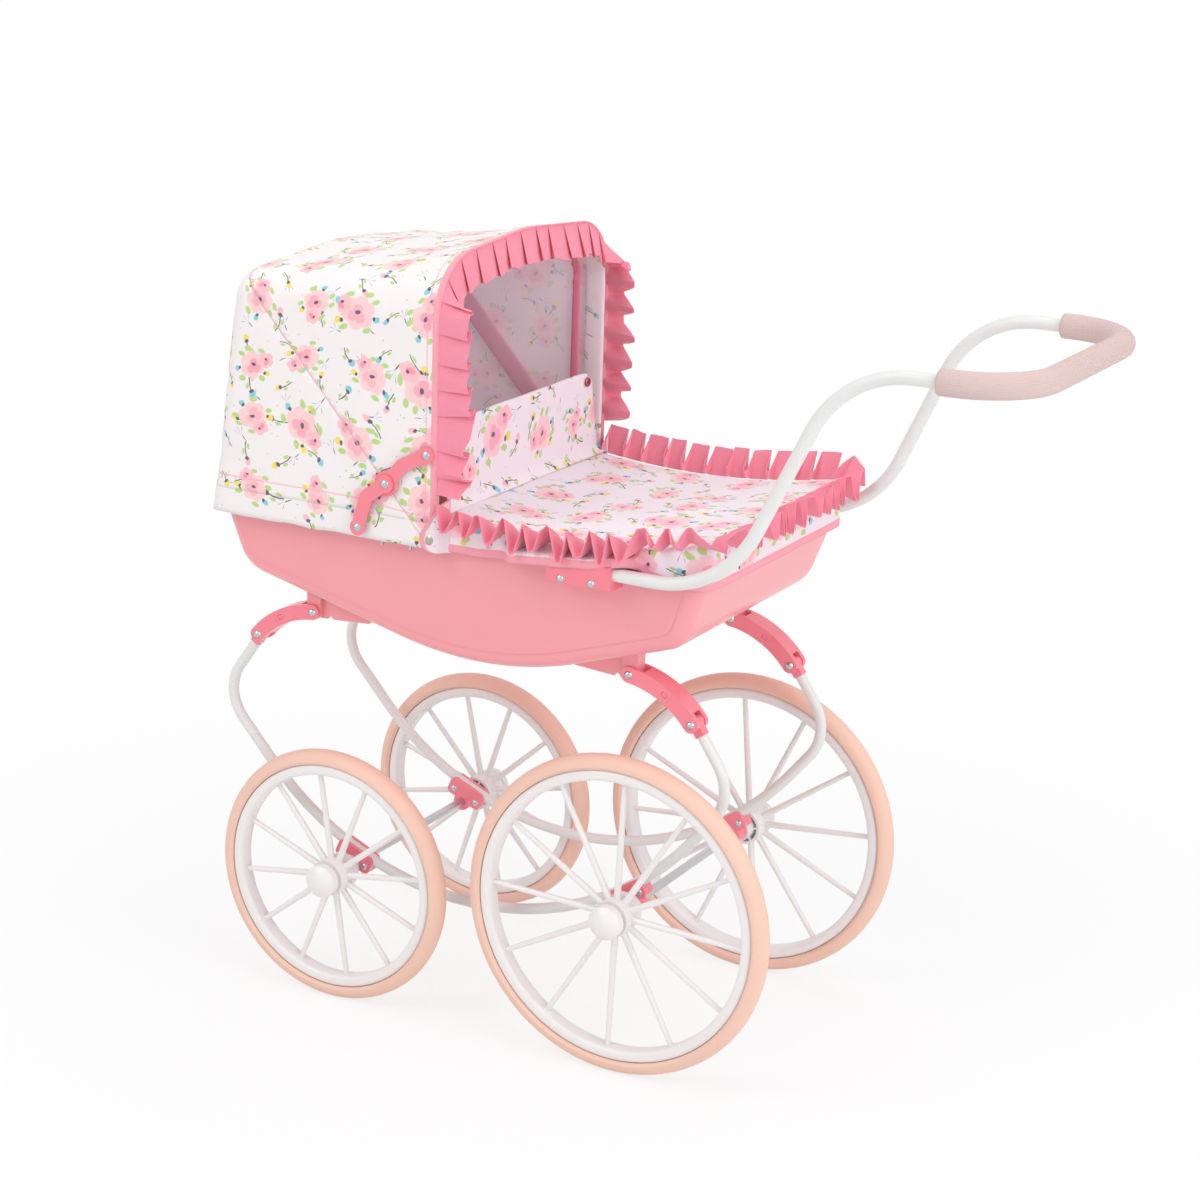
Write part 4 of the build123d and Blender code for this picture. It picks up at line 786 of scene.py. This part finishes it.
def buildSleeve(name, setup, material):
    angle = math.radians(setup["angle"])
    along = Vector((math.cos(angle), 0, math.sin(angle)))
    across = Vector((math.sin(angle), 0, -math.cos(angle)))
    base = Vector(hoodSetup["pivot"]) + across * setup["lead"]
    start = setup["start"]
    corners = archCorners(0, setup["half"], setup["reach"], setup["crown"], start, start)
    line = bentLine(corners, [setup["bend"], hoodSetup["crownBend"], setup["bend"]], 0.004)
    ring = 16

    def cellAt(r, c):
        point = line[r]
        run = runOf(line, r)
        place = base + along * point.z + Vector((0, point.y, 0))
        outward = Vector((0, -run.z, 0)) + along * run.y
        gather = setup["ruche"] * dropFrom(point.z, 0.1, 0.18)
        turn = math.tau * c / ring
        sideways = math.copysign(abs(math.cos(turn)) ** 0.6, math.cos(turn)) * setup["wide"]
        depth = math.copysign(abs(math.sin(turn)) ** 0.7, math.sin(turn))
        depth *= setup["outer"] if depth > 0 else setup["inner"]
        puff = gather * noise.noise(Vector((r * 0.9, math.cos(turn) * 0.7, math.sin(turn) * 0.7)))
        point = place + across * (sideways * (1 + 60 * puff)) + outward * (depth - abs(puff))
        return point, (sideways + (0.03 if depth > 0 else 0), r * 0.004)

    piece = sheetFrom(name, len(line), ring, cellAt, [material], closed=True)
    pointOut(piece)
    thicken(piece, setup["thickness"])
    return piece


frontSleeve = buildSleeve("frontBowSleeve", frontSleeveSetup, "facing")
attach(frontSleeve, "front_bow")
rearSleeve = buildSleeve("rearBowSleeve", rearSleeveSetup, "roseBand")
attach(rearSleeve, "rear_bow")
print("bow sleeves built")


# Gathered ribbons that hang inside the hood behind the front bow
ribbonSetup = {
    "x": -0.0625, "side": 0.1455, "low": 0.518, "high": 0.694, "wide": 0.0036, "gather": 0.632, "thickness": 0.0006,
    "flat": (0.0102, 0.182), "rows": 60, "turnIn": 0.022, "turnFrom": 0.66, "turnTo": 0.71,
}


def buildRibbon(name, setup, side):
    def cellAt(r, c):
        share = r / setup["rows"]
        across = c / 3 - 1
        z = setup["low"] + (setup["high"] - setup["low"]) * share
        ruched = dropFrom(z, setup["gather"], setup["gather"] + 0.02)
        inward = setup["turnIn"] * dropFrom(z, setup["turnFrom"], setup["turnTo"])
        puff = ruched * noise.noise(Vector((r * 0.8, across * 0.7, 6.0)))
        x = setup["x"] + across * setup["wide"] * (1 + 0.35 * (1 - share) + 0.5 * puff)
        y = setup["side"] - inward - 0.0022 * abs(puff) - 0.0008 * (1 - across * across)
        return Vector((x, side * y, z)), (across * 0.004, z)

    piece = sheetFrom(name, setup["rows"] + 1, 7, cellAt, ["pinkCotton"])
    thicken(piece, setup["thickness"], inward=False)
    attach(piece, "front_bow")


for name, side in (("leftRibbon", -1), ("rightRibbon", 1)):
    buildRibbon(name, ribbonSetup, side)
print("ribbons built")


# Apron: a soft cover with turned-down sides and a pink hem
apronSetup = {
    "front": -0.0335, "rear": 0.2315, "halfWidth": 0.1442, "corner": 0.022, "edge": 0.006,
    "tops": (0.4935, 0.4868, 0.5045),
    "hem": [
        (-0.04, 0.4590), (0.0, 0.4592), (0.04, 0.4622), (0.06, 0.4655), (0.085, 0.4678), (0.12, 0.4708),
        (0.148, 0.4756), (0.162, 0.4756), (0.176, 0.4665), (0.2, 0.4635), (0.24, 0.4612),
    ],
    "bulge": [
        (-0.04, 0.0), (0.03, 0.0006), (0.05, 0.0158), (0.09, 0.0172), (0.125, 0.0172), (0.146, 0.0150),
        (0.158, 0.0075), (0.17, 0.0), (0.24, 0.0),
    ],
    "tape": 0.0075,
    "tapeFrom": 0.74,  # share of the side above the tape
    "thickness": 0.001, "across": 48, "along": 44, "swell": 0.0042, "crease": 0.0018, "ripple": 0.0011,
}


def apronTop(setup, x):
    share = (x - setup["front"]) / (setup["rear"] - setup["front"])
    first, middle, last = setup["tops"]
    return first * (1 - share) * (1 - 2 * share) + 4 * middle * share * (1 - share) + last * share * (2 * share - 1)


def onTable(table, x):
    for (a, low), (b, high) in zip(table, table[1:]):
        if x <= b:
            return low + (high - low) * dropFrom(x, a, b)
    return table[-1][1]


def buildApron(setup):
    wide = setup["across"]
    long = setup["along"]
    inset = setup["edge"]
    half = setup["halfWidth"] - inset
    rear = setup["rear"] - inset
    corner = setup["corner"] - inset
    xs = [setup["front"] + (rear - setup["front"]) * i / long for i in range(long + 1)]
    ys = [-half + 2 * half * j / wide for j in range(wide + 1)]

    def rounded(x, y):
        a = (x - (rear - corner)) / corner
        b = (abs(y) - (half - corner)) / corner
        if a > 0 and b > 0:
            a, b = a * math.sqrt(1 - b * b / 2), b * math.sqrt(1 - a * a / 2)
            return rear - corner + a * corner, math.copysign(half - corner + b * corner, y)
        return x, y

    def height(x, y):
        calm = dropFrom(half - abs(y), 0.0, 0.03) * dropFrom(rear - x, 0.0, 0.03)
        calm *= dropFrom(x - setup["front"], 0.0, 0.02)
        swell = setup["swell"] * noise.noise(Vector((x * 11, y * 9, 4.0)))
        crease = setup["crease"] * noise.noise(Vector((x * 26 + y * 8, y * 14, 9.0)))
        return apronTop(setup, x) + calm * (swell + crease + 0.0008)

    mesh = bmesh.new()
    sheet = mesh.loops.layers.uv.new("cloth")
    flat = {}
    top = []
    for along in xs:
        top.append([])
        for x, y in (rounded(along, across) for across in ys):
            v = mesh.verts.new((x, y, height(x, y)))
            flat[v] = (x + 0.2, y + 0.3)
            top[-1].append(v)

    def addFace(corners, band):
        face = mesh.faces.new(corners)
        face.material_index = band
        face.smooth = True
        for loop in face.loops:
            loop[sheet].uv = flat[loop.vert]

    for i in range(long):
        for j in range(wide):
            addFace((top[i][j], top[i + 1][j], top[i + 1][j + 1], top[i][j + 1]), 0)
    edge = [row[0] for row in top] + top[-1][1:] + [row[-1] for row in reversed(top[:-1])]
    places = [v.co.copy() for v in edge]
    level = [Vector((place.x, place.y, 0)) for place in places]
    outs = [Vector((run.y, -run.x, 0)) for run in (runOf(level, k) for k in range(len(level)))]
    above = edge
    tapeFrom = setup["tapeFrom"]
    drops = [("turn", s) for s in (0.25, 0.5, 0.75, 1.0)]
    drops += [("fall", s) for s in (0.2, 0.4, 0.6, tapeFrom, 0.8, 0.9, 1.0)]
    walk = marksOf(places)
    for kind, share in drops:
        below = []
        for k, place in enumerate(places):
            onSide = abs(outs[k].y)
            hem = onTable(setup["hem"], place.x)
            bulge = onTable(setup["bulge"], place.x) * onSide * onSide
            if kind == "turn":
                angle = share * math.pi / 2
                point = place + outs[k] * setup["edge"] * math.sin(angle)
                point.z -= setup["edge"] * (1 - math.cos(angle))
            else:
                start = place.z - setup["edge"]
                tapeTop = hem + setup["tape"]
                point = place + outs[k] * setup["edge"]
                if share <= tapeFrom:
                    point.z = start + (tapeTop - start) * share / tapeFrom
                else:
                    point.z = tapeTop + (hem - tapeTop) * (share - tapeFrom) / (1 - tapeFrom)
                ripple = noise.noise(Vector((walk[k] * 26, 1.0, share))) * setup["ripple"] * share
                proud = 0.0004 if share > tapeFrom else 0.0
                point += outs[k] * (min(0.0006, ripple - 0.0004 + proud) + bulge * dropFrom(share, 0.0, 0.5))
            v = mesh.verts.new(point)
            flat[v] = (walk[k] + 0.9, point.z)
            below.append(v)
        band = 1 if kind == "fall" and share > tapeFrom else 0
        for k in range(len(places) - 1):
            addFace((above[k], below[k], below[k + 1], above[k + 1]), band)
        above = below
    bmesh.ops.recalc_face_normals(mesh, faces=mesh.faces)
    if sum(f.normal.z for f in mesh.faces) < 0:
        bmesh.ops.reverse_faces(mesh, faces=mesh.faces)
    data = bpy.data.meshes.new("apronCover")
    mesh.to_mesh(data)
    mesh.free()
    piece = addPiece("apronCover", data, ("sprigApron", "pinkTape"))
    thicken(piece, setup["thickness"])
    return piece, places, outs


apronCover, apronEdge, apronOuts = buildApron(apronSetup)
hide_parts("apron")
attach(apronCover, "frame")
print("apron cover built")


# Corners of the apron that button over the hood's skirt
tabSetup = {
    "edge": [
        (-0.0225, 0.5085), (-0.0290, 0.5030), (-0.0345, 0.4930), (-0.0405, 0.4840), (-0.0468, 0.4765),
        (-0.0488, 0.4690), (-0.0468, 0.4628), (-0.0410, 0.4592), (-0.032, 0.4580), (-0.0225, 0.4578),
    ],
    "inner": -0.0225, "middle": 0.473, "apronSide": 0.1432, "hoodSide": 0.1533, "thickness": 0.0006,
}


def buildTab(name, setup, side):
    edge = bentLine([(x, 0, z) for x, z in setup["edge"]], [0.004] * (len(setup["edge"]) - 2), 0.001, 48)

    def cellAt(r, c):
        place = edge[r]
        inner = Vector((setup["inner"], 0, setup["middle"] + (place.z - setup["middle"]) * 0.85))
        point = place.lerp(inner, c / 10)
        over = dropFrom(-point.x, 0.0235, 0.0335)
        crease = 0.0005 * noise.noise(Vector((point.x * 120, point.z * 160, 5.0))) * over
        y = setup["apronSide"] + (setup["hoodSide"] - setup["apronSide"]) * over + crease + 0.0005
        return Vector((point.x, side * y, point.z)), (point.x + 2.1, point.z)

    cloths = ["sprigApron", "pinkTape"]
    piece = sheetFrom(name, len(edge), 11, cellAt, cloths, bandFor=lambda r, c: 1 if c < 2 else 0)
    thicken(piece, setup["thickness"], inward=False)
    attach(piece, "frame")


for name, side in (("leftApronCorner", -1), ("rightApronCorner", 1)):
    buildTab(name, tabSetup, side)
print("apron corners built")


# Frill round the apron's edge
apronFrillSetup = {
    "pitch": 0.0222, "rows": 6, "root": 0.0035, "lean": 0.009, "thickness": 0.0007, "seed": 4.0, "uneven": 0.4,
    "out": 0.0035, "up": 0.0005, "from": -0.029,
    "near": (0.1, 0.0125, 0.0245), "far": (2.8, 0.0038, 0.0275),  # rise, spread and depth
    "byTube": (0.9, -0.004, -0.008),
}


def apronFrillOut(place, run):
    outward = Vector((run.y, -run.x, 0)).normalized()
    far = dropFrom(outward.y, 0.2, 0.9)
    near = dropFrom(-outward.y, 0.2, 0.9)
    byTube = dropFrom(place.x, 0.15, 0.2) * near
    sides = zip(*(apronFrillSetup[side] for side in ("near", "far", "byTube")))
    rise, spread, depth = (a * (1 - far) + b * far + c * byTube for a, b, c in sides)
    out = (outward + Vector((0, 0, rise))).normalized()
    return out, spread, depth, (0.0, 1 - far, far), 0.75 * far


def buildApronFrill(setup):
    edge = [(place, out) for place, out in zip(apronEdge, apronOuts) if place.x > setup["from"]]
    path = [place + out * setup["out"] + Vector((0, 0, setup["up"])) for place, out in edge]
    return pleatedPiece("apronFrill", path, apronFrillOut, setup)


apronFrill = buildApronFrill(apronFrillSetup)
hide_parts("apron_frill")
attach(apronFrill, "frame")
print("apron frill built")


# Flap that stands up under the hood
flapSetup = {
    "x": -0.031, "low": 0.4934, "high": 0.575, "lowHalf": 0.1385, "highHalf": 0.1208, "thickness": 0.0016,
    "sweep": 0.0065, "sweepShare": 0.12, "spread": 0.005,  # the foot runs out over the apron and to its edges
    "corner": 0.014, "cornerDrop": 0.0075, "wave": 0.0042, "footRows": 10, "rows": 30, "columns": 60,
}


def buildFlap(setup):
    footRows = setup["footRows"]
    footShare = setup["sweepShare"]

    def cellAt(r, c):
        share = footShare * r / footRows  # close rows at the foot
        if r >= footRows:
            share = footShare + (1 - footShare) * (r - footRows) / (setup["rows"] - footRows)
        z = setup["low"] + (setup["high"] - setup["low"]) * share
        foot = max(0.0, 1 - share / footShare) ** 2
        half = setup["lowHalf"] + (setup["highHalf"] - setup["lowHalf"]) * share + setup["spread"] * foot
        y = half * (2 * c / setup["columns"] - 1)
        turned = max(0.0, abs(y) - half + setup["corner"]) / setup["corner"]
        wave = noise.noise(Vector((y * 16, z * 9, 3.0))) * setup["wave"] * dropFrom(share, 0.05, 0.5)
        drop = setup["cornerDrop"] * turned * turned * dropFrom(share, 0.86, 1.0)
        return Vector((setup["x"] + wave + setup["sweep"] * foot, y, z - drop)), (y + 0.7, z + 0.2)

    piece = sheetFrom("apronFlap", setup["rows"] + 1, setup["columns"] + 1, cellAt, ["sprigApron"])
    thicken(piece, setup["thickness"], inward=False)
    return piece


apronFlap = buildFlap(flapSetup)
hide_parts("apron_flap")
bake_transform(apronFlap)
print("flap built")


# Foam grip with fine ribs along its length
gripSetup = {
    "start": 0.426, "end": 0.4986, "side": 0.142, "height": 0.6704, "bend": 0.064, "radius": 0.0109,
    "rib": 0.00022, "ribs": 40,
    "rounding": ((0.62, 0.0), (0.9, 0.0002), (0.97, 0.0009)),  # share of the radius and shift, at the ends
}


def buildGrip(setup):
    start = setup["start"]
    end = setup["end"]
    side = setup["side"]
    plan = [(start, -side), (end, -side), (end, side), (start, side)]
    path = bentLine([(x, y, setup["height"]) for x, y in plan], [setup["bend"]] * 2, 0.0045)
    last = len(path) - 1
    ring = setup["ribs"] * 4
    stations = [(0, share, shift) for share, shift in setup["rounding"]]
    stations += [(i, 1.0, 0.0) for i in range(1, last)]
    stations += [(last, share, -shift) for share, shift in reversed(setup["rounding"])]

    def cellAt(r, c):
        i, share, shift = stations[r]
        run = runOf(path, i)
        across = Vector((run.y, -run.x, 0)).normalized()
        angle = math.tau * c / ring
        size = setup["radius"] * share + setup["rib"] * math.cos(angle * setup["ribs"])
        out = across * math.cos(angle) + Vector((0, 0, 1)) * math.sin(angle)
        return path[i] + run * shift + out * size, (c / ring * 0.07, path[i].y)

    piece = sheetFrom("gripFoam", len(stations), ring, cellAt, ["gripFoam"], closed=True)
    pointOut(piece, lambda face: (setup["height"] - face.calc_center_median().z) * face.normal.z)
    return piece


gripFoam = buildGrip(gripSetup)
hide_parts("handle_grip")
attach(gripFoam, "frame")
print("grip built")


# Studio: pale floor and soft lights
studioSetup = {
    "floor": 30, "clear": 0.45, "fade": 0.6, "nearGlow": 0.76, "worldGlow": 0.55, "aim": (0.1, 0, 0.4),
    "lights": (
        ("keyLight", (-1.6, -2.6, 2.9), 2.2, 46),
        ("fillLight", (2.8, -0.9, 1.6), 2.4, 42),
        ("topLight", (0.2, 0.4, 3.2), 2.6, 25),
    ),
}


def buildStudio(setup):
    bpy.ops.mesh.primitive_plane_add(size=setup["floor"], location=(0, 0, 0))
    floor = bpy.context.active_object
    floor.name = "studioFloor"
    tree, shader = newFinish("floorPaper")
    tree.nodes.remove(shader)
    diffuse = addNode(tree, "BsdfDiffuse", {"Color": (0.92, 0.92, 0.92, 1)})
    glow = addNode(tree, "Emission", {"Color": (1, 1, 1, 1), "Strength": 1.0})
    path = addNode(tree, "LightPath")
    seen = calc(tree, "MAXIMUM", path.outputs["Is Camera Ray"], path.outputs["Is Glossy Ray"])
    place = addNode(tree, "TexCoord").outputs["Object"]
    away = addNode(tree, "VectorMath", {0: place}, operation="LENGTH").outputs["Value"]
    beyond = calc(tree, "DIVIDE", calc(tree, "SUBTRACT", away, setup["clear"]), setup["fade"], clamp=True)
    glowing = calc(tree, "MULTIPLY_ADD", beyond, 1 - setup["nearGlow"], setup["nearGlow"])
    plain = calc(tree, "MULTIPLY", seen, glowing)
    mix = addNode(tree, "MixShader", {0: plain, 1: diffuse.outputs[0], 2: glow.outputs[0]})
    feed(tree, tree.nodes["Material Output"], {"Surface": mix.outputs[0]})
    floor.data.materials.append(finishes["floorPaper"])
    world = bpy.data.worlds.new("studioWorld")
    bpy.context.scene.world = world
    world.use_nodes = True
    tree = world.node_tree
    path = addNode(tree, "LightPath")
    mirrored = calc(tree, "MAXIMUM", path.outputs["Is Glossy Ray"], path.outputs["Is Transmission Ray"])
    seen = calc(tree, "MAXIMUM", path.outputs["Is Camera Ray"], mirrored)
    strength = calc(tree, "MULTIPLY_ADD", seen, 1 - setup["worldGlow"], setup["worldGlow"])
    feed(tree, tree.nodes["Background"], {"Color": (1, 1, 1, 1), "Strength": strength})
    for name, place, size, power in setup["lights"]:
        data = bpy.data.lights.new(name, "AREA")
        data.energy = power
        data.size = size
        lamp = bpy.data.objects.new(name, data)
        bpy.context.collection.objects.link(lamp)
        lamp.location = place
        aim = Vector(setup["aim"]) - Vector(place)
        lamp.rotation_euler = aim.to_track_quat("-Z", "Y").to_euler()


buildStudio(studioSetup)
print("studio lit")
